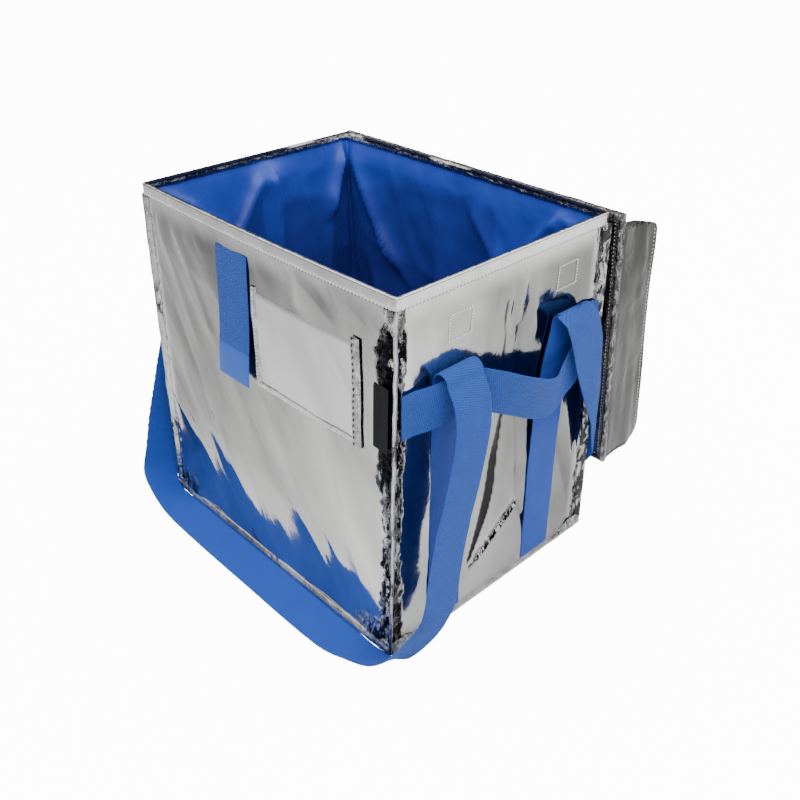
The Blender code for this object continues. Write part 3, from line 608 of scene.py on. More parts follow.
def two_faced(name: str, middle: Array, thickness: float, finishes: tuple, uvs: Array,
              crumple: Array | float = 0.0, edge_share: float = 0.35, thin_ends: bool = True,
              puff: Array | None = None) -> bpy.types.Object:
    """A closed sheet with two faces around a grid of middle points, facing outwards.

    Args:
        name: the piece's name.
        middle: the grid, rows along and columns across.
        thickness: the distance between its faces.
        finishes: the material of the face on the normal's side, and of the other.
        uvs: a pair of metres for each grid point.
        crumple: how crumpled each grid point is, or all of them.
        edge_share: how thick its rim is, of its thickness.
        thin_ends: whether its ends thin towards the rim, as its sides do.
        puff: extra thickness at each grid point.

    Returns:
        The object.
    """
    rows, columns = middle.shape[:2]
    normals = grid_normals(middle)
    half = np.full((rows, columns), thickness / 2)
    if puff is not None:
        half = half + puff / 2
    half[:, (0, -1)] *= edge_share
    if thin_ends:
        half[(0, -1), :] *= edge_share
    top = middle + normals * half[..., None]
    low = middle - normals * half[..., None]
    points = np.concatenate([top.reshape(-1, 3), low.reshape(-1, 3)])
    back = rows * columns
    faces = grid_faces(rows, columns) + grid_faces(rows, columns, back, flip=True)
    which = [0] * (len(faces) // 2) + [1] * (len(faces) // 2)
    edge = [(0, c) for c in range(columns)] + [(r, columns - 1) for r in range(1, rows)]
    edge += [(rows - 1, c) for c in reversed(range(columns - 1))]
    edge += [(r, 0) for r in reversed(range(1, rows - 1))]
    for here, there in zip(edge, edge[1:] + edge[:1]):
        a, b = here[0] * columns + here[1], there[0] * columns + there[1]
        faces.append((b, a, back + a, back + b))
        which.append(0)
    both = np.concatenate([uvs.reshape(-1, 2)] * 2)
    masks = np.concatenate([np.broadcast_to(crumple, (rows, columns)).ravel()] * 2)
    made = add_mesh(name, points, faces, list(finishes), which, both, masks)
    ends = np.empty(2 * len(made.data.edges), np.int32)
    made.data.edges.foreach_get("vertices", ends)
    layer, place = np.divmod(ends.reshape(-1, 2), back)
    row, column = np.divmod(place, columns)
    along_end = (row[:, 0] == row[:, 1]) & np.isin(row[:, 0], (0, rows - 1))
    along_side = (column[:, 0] == column[:, 1]) & np.isin(column[:, 0], (0, columns - 1))
    made.data.edges.foreach_set("use_edge_sharp", (layer[:, 0] == layer[:, 1]) & (along_end | along_side))
    fix_normals(made)
    return made


def ribbon_grid(path: Array, ways: Array, width: float, square: bool = True) -> tuple[Array, Array]:
    """The middle grid of a strap and its lengths for the weave.

    Args:
        path: middle points along the strap.
        ways: the way its width points at each of them.
        width: the strap's width.
        square: whether its width is kept square to its run.

    Returns:
        The grid of points and the grid of metres across and along.
    """
    travel = unit(np.gradient(path, axis=0))
    flat = ways - travel * np.sum(ways * travel, axis=1, keepdims=True)
    across = unit(flat) if square else ways / np.linalg.norm(flat, axis=1, keepdims=True)
    spread = np.linspace(-0.5, 0.5, RIBBON_COLUMNS)
    spread = np.sign(spread) * np.abs(spread * 2) ** 0.8 / 2
    grid = path[:, None, :] + across[:, None, :] * (spread[None, :, None] * width)
    lengths = run_length(path)
    uvs = stacked((spread * width + 0.5)[None, :], lengths[:, None])
    return grid, uvs


def dashes(name: str, path: Array, outward: Array, finish: bpy.types.Material, body: str,
           pitch: float = 0.0042, size: float = 0.00055) -> bpy.types.Object:
    """A row of sewn stitches along a path, laid by Geometry Nodes.

    Args:
        name: the row's name.
        path: points along the row.
        outward: the direction that the stitches stand out in.
        finish: the thread.
        body: the body that the row rides on.
        pitch: distance from stitch to stitch.
        size: the thread's radius.

    Returns:
        The row as a plain mesh.
    """
    even = resample(np.asarray(path, float), pitch)
    guide = bpy.data.meshes.new(name + "_guide")
    guide.from_pydata(even.tolist(), [(i, i + 1) for i in range(len(even) - 1)], [])
    holder = bpy.data.objects.new(name, guide)
    bpy.context.scene.collection.objects.link(holder)
    tree = stitch_tree()
    modifier = holder.modifiers.new("stitches", "NODES")
    modifier.node_group = tree
    values = {"Stitch length": pitch * 0.66, "Thread radius": size, "Outward": tuple(outward),
              "Thread": finish}
    for item in tree.interface.items_tree:
        if item.item_type == "SOCKET" and item.in_out == "INPUT" and item.name in values:
            modifier[item.identifier] = values[item.name]
    holder.update_tag()
    view = bpy.context.evaluated_depsgraph_get()
    mesh = bpy.data.meshes.new_from_object(holder.evaluated_get(view), depsgraph=view)
    holder.modifiers.clear()
    bare = holder.data
    holder.data = mesh
    bpy.data.meshes.remove(bare)
    mesh.materials.clear()
    mesh.materials.append(finish)
    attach(holder, body)
    return holder


def stitch_tree() -> Tree:
    """The Geometry Nodes tree that lays a stitch on each step of a path."""
    found = bpy.data.node_groups.get("sewn_row")
    if found:
        return found
    tree = bpy.data.node_groups.new("sewn_row", "GeometryNodeTree")
    face = tree.interface
    face.new_socket("Geometry", in_out="INPUT", socket_type="NodeSocketGeometry")
    face.new_socket("Stitch length", in_out="INPUT", socket_type="NodeSocketFloat").default_value = 0.0028
    face.new_socket("Thread radius", in_out="INPUT", socket_type="NodeSocketFloat").default_value = 0.0004
    face.new_socket("Outward", in_out="INPUT", socket_type="NodeSocketVector")
    face.new_socket("Thread", in_out="INPUT", socket_type="NodeSocketMaterial")
    face.new_socket("Geometry", in_out="OUTPUT", socket_type="NodeSocketGeometry")
    make = tree.nodes.new
    given, made = make("NodeGroupInput"), make("NodeGroupOutput")
    curve = make("GeometryNodeMeshToCurve")
    wire(tree, given.outputs["Geometry"], curve.inputs["Mesh"])
    points = make("GeometryNodeCurveToPoints")
    points.mode = "EVALUATED"
    wire(tree, curve.outputs[0], points.inputs["Curve"])
    ball = make("GeometryNodeMeshIcoSphere")
    ball.inputs["Radius"].default_value = 1.0
    ball.inputs["Subdivisions"].default_value = 1
    aim = make("FunctionNodeAxesToRotation")
    aim.primary_axis, aim.secondary_axis = "X", "Z"
    wire(tree, points.outputs["Tangent"], aim.inputs["Primary Axis"])
    wire(tree, given.outputs["Outward"], aim.inputs["Secondary Axis"])
    half = make("ShaderNodeMath")
    half.operation = "MULTIPLY"
    half.inputs[1].default_value = 0.5
    wire(tree, given.outputs["Stitch length"], half.inputs[0])
    size = make("ShaderNodeCombineXYZ")
    wire(tree, half.outputs[0], size.inputs["X"])
    wire(tree, given.outputs["Thread radius"], size.inputs["Y"])
    wire(tree, given.outputs["Thread radius"], size.inputs["Z"])
    lay = make("GeometryNodeInstanceOnPoints")
    wire(tree, points.outputs["Points"], lay.inputs["Points"])
    wire(tree, ball.outputs["Mesh"], lay.inputs["Instance"])
    wire(tree, aim.outputs[0], lay.inputs["Rotation"])
    wire(tree, size.outputs[0], lay.inputs["Scale"])
    real = make("GeometryNodeRealizeInstances")
    wire(tree, lay.outputs[0], real.inputs[0])
    shade = make("GeometryNodeSetShadeSmooth")
    wire(tree, real.outputs[0], shade.inputs[0])
    paint = make("GeometryNodeSetMaterial")
    wire(tree, shade.outputs[0], paint.inputs["Geometry"])
    wire(tree, given.outputs["Thread"], paint.inputs["Material"])
    wire(tree, paint.outputs[0], made.inputs["Geometry"])
    return tree


# The tote


@dataclass
class ToteSize:
    """Outer sizes of the open box, read off its solids."""

    half_width: float = 0.192
    rim_half: float = 0.139
    base_half: float = 0.149
    height: float = 0.381
    crease_place: float = 0.016
    crease_reach: float = 0.115
    crease_depth: float = 0.008
    crease_shares: tuple = (
        (0.0, 0.0), (0.05, 0.0), (0.27, 0.35), (0.55, 1.0), (0.84, 0.8), (0.965, 0.0), (1.0, 0.0))

    def half_depth(self, level: Array | float) -> Array:
        """Half the box's depth at a height."""
        return self.base_half + (self.rim_half - self.base_half) * np.asarray(level) / self.height

    def pinch(self, place: Array, level: Array) -> Array:
        """How far the end wall is pinched in along its fold."""
        shares = np.array(self.crease_shares)
        depth = np.interp(np.asarray(level) / self.height, shares[:, 0], shares[:, 1])
        near = np.clip(1 - np.abs(np.asarray(place) - self.crease_place) / self.crease_reach, 0, 1)
        return self.crease_depth * depth * near


@dataclass(frozen=True)
class Crease:
    """A fold across a wall, from one place and height to another.

    Its crest falls away over a width on either side, and it fades at both ends.
    """

    start: tuple[float, float]
    stop: tuple[float, float]
    height: float
    before: float
    after: float
    fade: float = 0.2

    def off(self, place: Array, level: Array) -> tuple[Array, Array]:
        """How far along the fold a point lies (0 to 1), and how far beside it."""
        run = np.array(self.stop) - np.array(self.start)
        length = float(np.hypot(*run))
        dx, dz = place - self.start[0], level - self.start[1]
        return (dx * run[0] + dz * run[1]) / length ** 2, (dx * run[1] - dz * run[0]) / length

    def rise(self, place: Array, level: Array) -> Array:
        """The fold's height at each point."""
        along, beside = self.off(place, level)
        width = np.where(beside > 0, self.after, self.before)
        first = smooth_step(along, -self.fade, self.fade)
        ends = first * (1 - smooth_step(along, 1 - self.fade, 1 + self.fade))
        return self.height * np.exp(-(np.abs(beside) / width) ** 1.15) * ends

    def near(self, place: Array, level: Array, width: float) -> Array:
        """1 on the fold's line, falling to 0 beside it."""
        along, beside = self.off(place, level)
        inside = smooth_step(along, -0.05, 0.05) * (1 - smooth_step(along, 0.95, 1.05))
        return np.exp(-np.abs(beside) / width) * inside


def folds(*rows: tuple[float, ...]) -> tuple[Crease, ...]:
    """Creases from rows of numbers: start, stop, height, widths before and after, and fade."""
    return tuple(Crease(row[:2], row[2:4], *row[4:]) for row in rows)


FRONT_FOLDS = folds(
    (-0.165, 0.350, -0.105, 0.225, 0.0013, 0.006, 0.010),
    (-0.135, 0.356, -0.070, 0.240, 0.0014, 0.004, 0.012),
    (-0.150, 0.260, -0.085, 0.130, -0.0013, 0.006, 0.012),
    (0.064, 0.366, 0.118, 0.333, 0.0010, 0.0040, 0.0100),
    (-0.110, 0.180, -0.035, 0.060, 0.0014, 0.006, 0.016),
    (0.010, 0.200, 0.080, 0.075, 0.0012, 0.008, 0.018),
    (0.075, 0.370, 0.070, 0.335, 0.0010, 0.004, 0.006),
    (0.120, 0.210, 0.150, 0.110, -0.0010, 0.006, 0.012),
    (-0.040, 0.215, 0.020, 0.110, -0.0010, 0.008, 0.014))
END_FOLDS = folds(
    (0.019, 0.384, 0.020, 0.305, 0.0020, 0.0032, 0.0046, 0.05),
    (-0.001, 0.384, 0.003, 0.300, 0.0010, 0.0030, 0.0026, 0.06),
    (-0.003, 0.338, 0.002, 0.250, -0.0010, 0.0018, 0.0018, 0.08),
    (0.020, 0.310, 0.028, 0.097, -0.0012, 0.0022, 0.0030, 0.04),
    (0.031, 0.384, 0.044, 0.286, 0.0012, 0.0050, 0.0080, 0.08),
    (-0.016, 0.384, -0.016, 0.330, -0.0012, 0.005, 0.006),
    (-0.040, 0.384, -0.044, 0.335, 0.0010, 0.006, 0.008),
    (0.028, 0.097, -0.036, 0.053, 0.0056, 0.0032, 0.0044, 0.06),
    (0.028, 0.097, 0.070, 0.016, -0.0022, 0.0030, 0.0060, 0.08),
    (0.018, 0.084, -0.040, 0.045, -0.0032, 0.0022, 0.0022, 0.08),
    (0.092, 0.230, 0.120, 0.110, 0.0022, 0.004, 0.009),
    (0.085, 0.150, 0.125, 0.050, -0.0018, 0.005, 0.010),
    (-0.100, 0.200, -0.085, 0.060, 0.0012, 0.010, 0.016))
# The band beside the gusset fold that is painted dark as painted shadow: its height, place across the wall
# and half width
GUSSET_PAINTED_SHADOW = (
    (0.052, -0.044, 0.0016), (0.085, -0.030, 0.0062), (0.105, -0.022, 0.0084), (0.130, -0.015, 0.0086),
    (0.170, -0.009, 0.0068), (0.200, -0.001, 0.0044), (0.222, 0.005, 0.0022))
LEFT_LINER_SHADE = (
    (-0.140, 0.300), (-0.060, 0.316), (-0.030, 0.338), (-0.006, 0.344), (-0.001, 0.290), (0.012, 0.262),
    (0.019, 0.268), (0.024, 0.330), (0.060, 0.328), (0.100, 0.318), (0.132, 0.350))
BACK_LINER_SHADE = (
    (-0.190, 0.362), (-0.165, 0.335), (-0.150, 0.326), (-0.104, 0.344), (-0.013, 0.350), (0.055, 0.352),
    (0.066, 0.300), (0.110, 0.270), (0.190, 0.260))
END_LINER_FOLDS = folds(
    (-0.125, 0.378, -0.045, 0.311, 0.0050, 0.0030, 0.0200),
    (0.016, 0.382, -0.056, 0.285, 0.0100, 0.0200, 0.0060),
    (0.013, 0.380, 0.018, 0.200, 0.0110, 0.0090, 0.0070),
    (0.098, 0.310, 0.080, 0.120, 0.0080, 0.0220, 0.0120),
    (0.128, 0.380, 0.094, 0.296, 0.0130, 0.0070, 0.0060),
    (-0.060, 0.200, -0.020, 0.060, 0.0060, 0.020, 0.020))
RIGHT_LINER_FOLDS = folds(
    (-0.010, 0.318, 0.062, 0.352, 0.0190, 0.0120, 0.0080),
    (0.016, 0.384, 0.010, 0.120, 0.0080, 0.014, 0.014),
    (0.062, 0.350, 0.130, 0.345, 0.0110, 0.010, 0.010))
BACK_LINER_FOLDS = folds(
    (-0.166, 0.352, -0.092, 0.232, 0.0120, 0.0090, 0.0050),
    (-0.035, 0.372, -0.020, 0.160, 0.0070, 0.0220, 0.0160),
    (-0.160, 0.330, -0.100, 0.246, 0.0070, 0.0022, 0.0060),
    (0.104, 0.322, 0.137, 0.366, 0.0100, 0.0022, 0.0100),
    (0.137, 0.366, 0.166, 0.354, 0.0080, 0.0060, 0.0024),
    (0.022, 0.340, 0.066, 0.290, 0.0080, 0.0160, 0.0070),
    (0.066, 0.296, 0.060, 0.150, 0.0080, 0.0160, 0.0100),
    (-0.140, 0.220, -0.090, 0.060, 0.0080, 0.0200, 0.0140),
    (0.130, 0.300, 0.150, 0.120, 0.0070, 0.016, 0.016))


@dataclass
class Walls:
    """The foil outside and the blue liner inside: lofted tubs with soft walls."""

    size: ToteSize
    bench: dict
    tuck: float = 0.0040
    tuck_reach: float = 0.013
    rim_bow: float = 0.0030
    belly: float = 0.0022
    skin: float = 0.0051
    lining: float = 0.0060
    broad_wave: float = 0.0016
    short_wave: float = 0.0007
    crest: float = 0.00055
    crush: float = 0.0011
    grain: float = 0.0006
    rim_ripple: float = 0.0019
    foot_ripple: float = 0.0008
    pleats: float = 0.0006
    fold_shade: float = 80.0
    loose_rest: float = 0.0030
    loose_most: float = 0.024
    corner_round: float = 0.010
    corner_reach: float = 0.030
    foil_steps: tuple[float, float] = (0.0036, 0.0023)
    liner_steps: tuple[float, float] = (0.0040, 0.0032)

    def steps_along(self, spacings: tuple[float, float]) -> list[Array]:
        """Places across a long and an end wall, from -1 to 1, closer together near the corners."""
        places = []
        for half, spacing in zip((self.size.half_width, self.size.base_half), spacings):
            even = np.linspace(-1, 1, int(2 * half / spacing))
            near = np.linspace(0, 0.016 / half, 9)[1:]
            places.append(np.unique(np.round(np.concatenate([even, -1 + near, 1 - near]), 6)))
        return places

    def tucked(self, from_corner: Array) -> Array:
        """How far the film is drawn in next to a corner seam."""
        t = np.clip(from_corner / self.tuck_reach, 0, 1)
        return self.tuck * (1 - t) ** 2.0

    def swell(self, share: Array, z: Array) -> Array:
        """How far a long wall bows out at the rim and bellies below it."""
        free = 1 - share ** 2
        high = z / self.size.height
        return self.rim_bow * free * high ** 2 + self.belly * free * 4 * high * (1 - high)

    def free(self, corner: Array, z: Array) -> Array:
        """0 where the foil is sewn at its corners and rim, 1 where it is free to wrinkle."""
        return smooth_step(corner, 0.004, 0.02) * smooth_step(self.size.height - z, 0.006, 0.034)

    def soft(self, across: Array, z: Array, lean: float, seed: int) -> Array:
        """The film's long soft wrinkles, drawn out along a slope."""
        beside, along = across * 0.8 + z * lean, (across * lean - z * 0.8) * 0.35
        flat = stacked(beside, 0.1 * seed, along)
        broad = noise(flat, 0.070, seed) * self.broad_wave + noise(flat, 0.030, seed + 1) * self.short_wave
        return broad + np.clip(ridges(flat, 0.024, seed + 2), 0, 1) ** 2 * self.crest

    def seam_pucker(self, across: Array, z: Array, corner: Array, seed: int,
                    bulk: Array | float = 0.0) -> tuple[Array, Array, Array]:
        """The crushed strip beside a corner seam.

        Args:
            across: places across the wall.
            z: heights.
            corner: distances from the seam.
            seed: which of the repeatable fields to read.
            bulk: where the strip is broad with denser painted dark streaks, from 0 to 1.

        Returns:
            How crushed the film is, its dents, and its painted dark streaks, which stand in for the dark
            reflections in crushed foil.
        """
        flat = stacked(across, 0.2 * seed, z)
        width = 0.0100 + 0.0035 * noise(flat, (9.0, 1.0, 0.030), seed) + 0.0080 * bulk
        width = width + 0.0030 * noise(flat, (9.0, 1.0, 0.006), seed + 3)
        strip = 1 - smooth_step(corner, width * 0.75, width)
        dents = np.clip(ridges(flat, (0.0045, 1.0, 0.0110), seed + 1), -1, 1) * self.crush
        dents = dents + noise(flat, (0.004, 1.0, 0.005), seed + 2) * self.grain
        dents = strip * smooth_step(corner, 0.0, 0.002) * dents
        # Painted dark streaks in the crushed strip, in place of the dark reflections of crumpled foil
        wrinkles = noise(flat, (0.0050, 1.0, 0.0160), seed + 5)
        streak = smooth_step(wrinkles, -0.35 - 0.4 * bulk, 0.05 - 0.4 * bulk)
        return strip, dents, strip * streak * (0.70 + 0.30 * bulk)

    def front_wall(self, u: Array, z: Array, face: int) -> tuple[Array, Array, Array]:
        """Points, crumple and painted shade of the front (face -1) or back wall: darker towards the top left
        seen from outside, darker in fold valleys, with painted dark streaks by the seams.
        """
        half = self.size.half_width - self.tuck
        x = u * half
        corner = half * (1 - np.abs(u))
        fade = self.free(corner, z)
        across = x if face < 0 else -x
        soft = self.soft(across, z, 0.6, 3 if face < 0 else 13)
        for fold in FRONT_FOLDS:
            soft = soft + fold.rise(across, z)
        flat = stacked(x, face * 0.5, z)
        below = np.exp(-np.clip(self.size.height - 0.010 - z, 0, None) / 0.022)
        soft = soft + below * noise(flat, (0.010, 1.0, 0.09), 8) * self.rim_ripple
        low = smooth_step(z, 0.05, 0.0)
        soft = soft + low * noise(flat, (0.022, 1.0, 0.014), 9) * self.foot_ripple
        bulk = smooth_step(z, 0.170, 0.210) * (1 - smooth_step(z, 0.335, 0.360)) * (x > 0) * (face < 0)
        strip, dents, painted_dark_streaks = self.seam_pucker(across, z, corner, 31 if face < 0 else 37, bulk)
        out = self.swell(u, z) * smooth_step(corner, 0.0, 0.02)
        foot = smooth_step(z, 0.046, 0.018) * smooth_step(corner, 0.058, 0.014)
        crush = foot * smooth_step(corner, 0.0, 0.006) * ridges(flat, (0.007, 1.0, 0.006), 33)
        dents = dents + crush * self.crush
        y = face * (self.size.half_depth(z) - self.tucked(corner) + out + soft * fade + dents)
        # Painted shade: a gradient darker towards the top left, darker in the valleys of the soft folds and
        # lighter on their crests, with random patches, fading out near the floor, the seams and the rim
        patches = noise(stacked(across + z * 0.6, face * 0.3, z * 0.3), 0.035, 7) * 0.10
        painted_shade_gradient = smooth_step(z * 0.35 - across * 0.8, -0.12, 0.22)
        shade = 0.25 - self.fold_shade * soft * fade + 0.40 * painted_shade_gradient + patches
        calm = 1 - 0.75 * smooth_step(-x, 0.0, 0.1) * (face < 0) - 0.35 * (face > 0)
        strip = strip * calm
        painted_shade = np.maximum(np.clip(shade, 0, 0.75) * fade * smooth_step(z, 0.04, 0.15), painted_dark_streaks * calm)
        return stacked(x, y, z), np.clip(strip + foot * 0.8, 0, 1), painted_shade

    def end_wall(self, v: Array, z: Array, side: int) -> tuple[Array, Array, Array]:
        """Points, crumple and painted shade of an end wall: darker towards the back and higher up, darker in
        fold valleys, with painted dark lines, a painted shadow band and painted dark streaks by the seams.
        """
        size = self.size
        half = size.half_depth(z) - self.tuck
        y = v * half
        corner = half * (1 - np.abs(v))
        fade = self.free(corner, z)
        soft = self.soft(y, z, 0.35, 23 if side > 0 else 43) * 0.8
        for fold in END_FOLDS:
            soft = soft + fold.rise(y, z)
        flat = stacked(side * 0.5, y, z)
        pleat = noise(flat, (1.0, 0.011, 0.14), 21) * np.exp(-((y - 0.016) / 0.035) ** 2)
        soft = soft + pleat * self.pleats * smooth_step(z, 0.22, 0.31)
        gusset_sink_and_shadow = self.hollow(y, z)
        strip, dents, painted_dark_streaks = self.seam_pucker(y, z, corner, 47 if side > 0 else 53)
        pale = 1 - 0.75 * smooth_step(y, 0.05, 0.10) * (1 - smooth_step(z, 0.27, 0.32))
        strip, painted_dark_streaks = strip * (0.4 + 0.6 * pale), painted_dark_streaks * pale
        pinch = size.pinch(y, z)
        pinch = pinch * (pinch / size.crease_depth) ** 0.7 * 0.95
        drawn = 0.3 * self.tucked(corner) + 0.7 * self.tuck * (1 - np.clip(corner / 0.050, 0, 1)) ** 2
        x = side * (size.half_width - pinch - drawn + (soft - 0.0006 * gusset_sink_and_shadow) * fade + dents)
        crush = 0.95 * END_FOLDS[7].near(y, z, 0.0050) + 0.15 * END_FOLDS[0].near(y, z, 0.004)
        foot = smooth_step(z, 0.025, 0.0) * 0.35
        # Painted shade: darker towards the back and above the lower part, darker in fold valleys; painted
        # dark lines along four creases and the painted shadow band beside the gusset fold
        shade = (0.31 + 0.42 * smooth_step(y, -0.11, 0.05)) * (0.82 + 0.18 * smooth_step(z, 0.05, 0.22))
        shade = shade - self.fold_shade * soft * fade
        lines = ((2, 0.0018, 0.9), (3, 0.0016, 0.6), (9, 0.0032, 1.0), (8, 0.0016, 0.4))
        deep = np.max([gusset_sink_and_shadow] + [share * END_FOLDS[k].near(y, z, width) for k, width, share in lines], axis=0)
        painted_shade = np.max([np.clip(shade, 0, 0.7) * fade, np.clip(1.4 * deep, 0, 1), painted_dark_streaks], axis=0)
        return stacked(x, y, z), np.clip(strip + crush + foot, 0, 1), painted_shade

    def hollow(self, y: Array, z: Array) -> Array:
        """1 inside the band beside the gusset fold, which sinks a little and is painted dark as painted
        shadow, 0 outside it.
        """
        level, place, half = np.array(GUSSET_PAINTED_SHADOW).T
        off = np.abs(y - np.interp(z, level, place)) / np.interp(z, level, half)
        inside = (1 - smooth_step(off, 0.7, 1.15)) * smooth_step(z, 0.050, 0.060)
        return inside * (1 - smooth_step(z, 0.218, 0.228))

    def ring(self, levels: Array, long: Array, deep: Array) -> list[Array]:
        """The whole outside: points, crumple and painted shade, a row for each level."""
        z = levels[:, None]
        parts = [self.front_wall(long[None, :-1], z, -1), self.end_wall(deep[None, :-1], z, 1),
                 self.front_wall(-long[None, :-1], z, 1), self.end_wall(-deep[None, :-1], z, -1)]
        return [np.concatenate([part[field] for part in parts], 1) for field in range(3)]

    def plain_ring(self, levels: Array, inset: float, long: Array, deep: Array) -> Array:
        """A smooth ring inside the walls, one row of points for each level."""
        size = self.size
        z = levels[:, None]
        inset = inset - 0.0022 * smooth_step(z, size.height - 0.016, size.height - 0.003)
        half_x, half_y = size.half_width - inset, size.half_depth(z) - inset
        parts = []
        for u, face in ((long, -1), (-long, 1)):
            out = self.swell(u[None, :], z)
            parts.append(stacked(u[None, :] * half_x, face * (half_y + out), z)[:, :-1])
        for v, side in ((deep, 1), (-deep, -1)):
            y = v[None, :] * half_y
            parts.append(stacked(side * (half_x - size.pinch(y, z)), y, z)[:, :-1])
        return np.concatenate([parts[0], parts[2], parts[1], parts[3]], 1)

    def tub(self, rows: Array, low: float, high: float) -> tuple[Array, list]:
        """Close rows of points at both ends with a fan."""
        total, count = rows.shape[:2]
        faces = grid_faces(total, count, wrap=True)
        first, final, last = total * count, total * count + 1, (total - 1) * count
        for c in range(count):
            d = (c + 1) % count
            faces.append((d, c, first))
            faces.append((last + c, last + d, final))
        return np.concatenate([rows.reshape(-1, 3), [(0, 0, low), (0, 0, high)]]), faces

    def build_shell(self) -> None:
        """The foil outside with its base, as one closed thin tub."""
        top = self.size.height - 0.0006
        levels = np.concatenate([[0.0006, 0.0025], np.linspace(0.005, top, 148)])
        long, deep = self.steps_along(self.foil_steps)
        outer, crumple, painted_shade = self.ring(levels, long, deep)
        inner = self.plain_ring(np.linspace(top, 0.0045, 12), self.skin, long, deep)
        foot = outer[0] * (0.985, 0.985, 0) + (0, 0, 0.0002)
        rows = np.concatenate([foot[None], outer, inner])
        still = np.zeros(inner.shape[:2])
        points, faces = self.tub(rows, 0.0002, 0.0045)
        masks = [np.concatenate([part[:1], part, still]).ravel() for part in (crumple, painted_shade)]
        mask, shade = (np.append(part, (0.0, 0.0)) for part in masks)
        shell = add_mesh("foil_shell", points, faces, [self.bench["foil"]], crumple=mask, painted_shade=shade)
        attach(shell, "tote")
        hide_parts("front_skin", "back_skin", "right_skin", "left_skin", "base_skin",
                    "front_foam", "back_foam", "right_foam_front", "right_foam_back",
                    "left_foam_front", "left_foam_back", "base_foam")

    def liner_face(self, levels: Array, long: Array, deep: Array) -> Array:
        """The liner's inner face: looser than the foil, with deep folds."""
        size = self.size
        grid = self.plain_ring(levels, self.lining + 0.0008, long, deep)
        z = grid[..., 2]
        bounds = np.cumsum([0] + [len(long) - 1, len(deep) - 1] * 2)
        free = smooth_step(size.height - z, 0.004, 0.03) * smooth_step(z, 0.008, 0.05)
        depth = np.zeros(z.shape)
        inward = np.zeros(grid.shape)
        sides = (((), (0, 1, 0), 0), (RIGHT_LINER_FOLDS, (-1, 0, 0), 1), (BACK_LINER_FOLDS, (0, -1, 0), 0),
                 (END_LINER_FOLDS, (1, 0, 0), 1))
        for index, (creases, way, axis) in enumerate(sides):
            part = slice(bounds[index], bounds[index + 1])
            across, level = grid[:, part, axis], z[:, part]
            half = size.half_width if axis == 0 else size.half_depth(level)
            room = smooth_step(half - np.abs(across), 0.004, 0.020)
            flat = stacked(across, 0.3 * index, level)
            slant = stacked(across + level * 0.35, 0.3 * index, level * 0.4)
            loose = self.loose_rest + 0.0024 * noise(slant, 0.055, 41 + index)
            loose = loose + 0.0012 * noise(flat, 0.024, 51 + index)
            loose = loose + 0.0016 * np.clip(ridges(slant, 0.040, 61 + index), 0, 1) ** 2
            for fold in creases:
                loose = loose + fold.rise(across, level)
            depth[:, part] = np.clip(loose * free[:, part] * room, 0.0, self.loose_most)
            inward[:, part] = way
        # The loose film rounds off its own corners below the rim
        far = np.maximum(size.half_width - np.abs(grid[..., 0]), size.half_depth(z) - np.abs(grid[..., 1]))
        pull = np.clip(1 - far / self.corner_reach, 0, 1) ** 2 * self.corner_round * free
        middle = unit(-grid * (1, 1, 0))
        return grid + inward * depth[..., None] + middle * pull[..., None]

    def liner_shade(self, x: Array, y: Array, z: Array) -> Array:
        """How deep in the tote's shade the liner lies at each point."""
        below = np.zeros_like(z)
        for table, place, wall in ((LEFT_LINER_SHADE, y, smooth_step(-x, 0.150, 0.175)),
                                   (BACK_LINER_SHADE, x, smooth_step(y, 0.100, 0.118))):
            edge = np.interp(place, *np.array(table).T)
            below = np.maximum(below, smooth_step(edge - z, -0.002, 0.010) * wall)
        below = np.maximum(below, smooth_step(0.30 - z, 0.0, 0.04))
        return 0.34 * below + 0.36 * smooth_step(0.335 - z, 0.0, 0.13)

    def build_liner(self) -> None:
        """The loose blue liner, a thin tub with folds."""
        top, flat = self.size.height - 0.0012, 0.0078
        long, deep = self.steps_along(self.liner_steps)
        face = self.liner_face(np.concatenate([np.linspace(top, 0.012, 96), [0.0095, flat]]), long, deep)
        floor = []
        for share in (0.985, 0.93, 0.8, 0.6, 0.35, 0.15):
            row = face[-1] * (share, share, 1)
            row[:, 2] = flat - 0.0004 + 0.0011 * np.abs(noise(row, 0.05, 51)) * smooth_step(share, 1.0, 0.93)
            floor.append(row)
        outside = self.plain_ring(np.linspace(0.0066, top, 12), self.lining, long, deep)
        rows = np.concatenate([outside, face, np.array(floor)])
        points, faces = self.tub(rows, 0.0066, flat)
        shade = self.liner_shade(*points.T)
        liner = add_mesh("liner_tub", points, faces, [self.bench["liner"]], crumple=0 * shade, painted_shade=shade)
        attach(liner, "tote")
        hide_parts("liner")

    def build(self) -> None:
        """Build both tubs."""
        self.build_shell()
        self.build_liner()


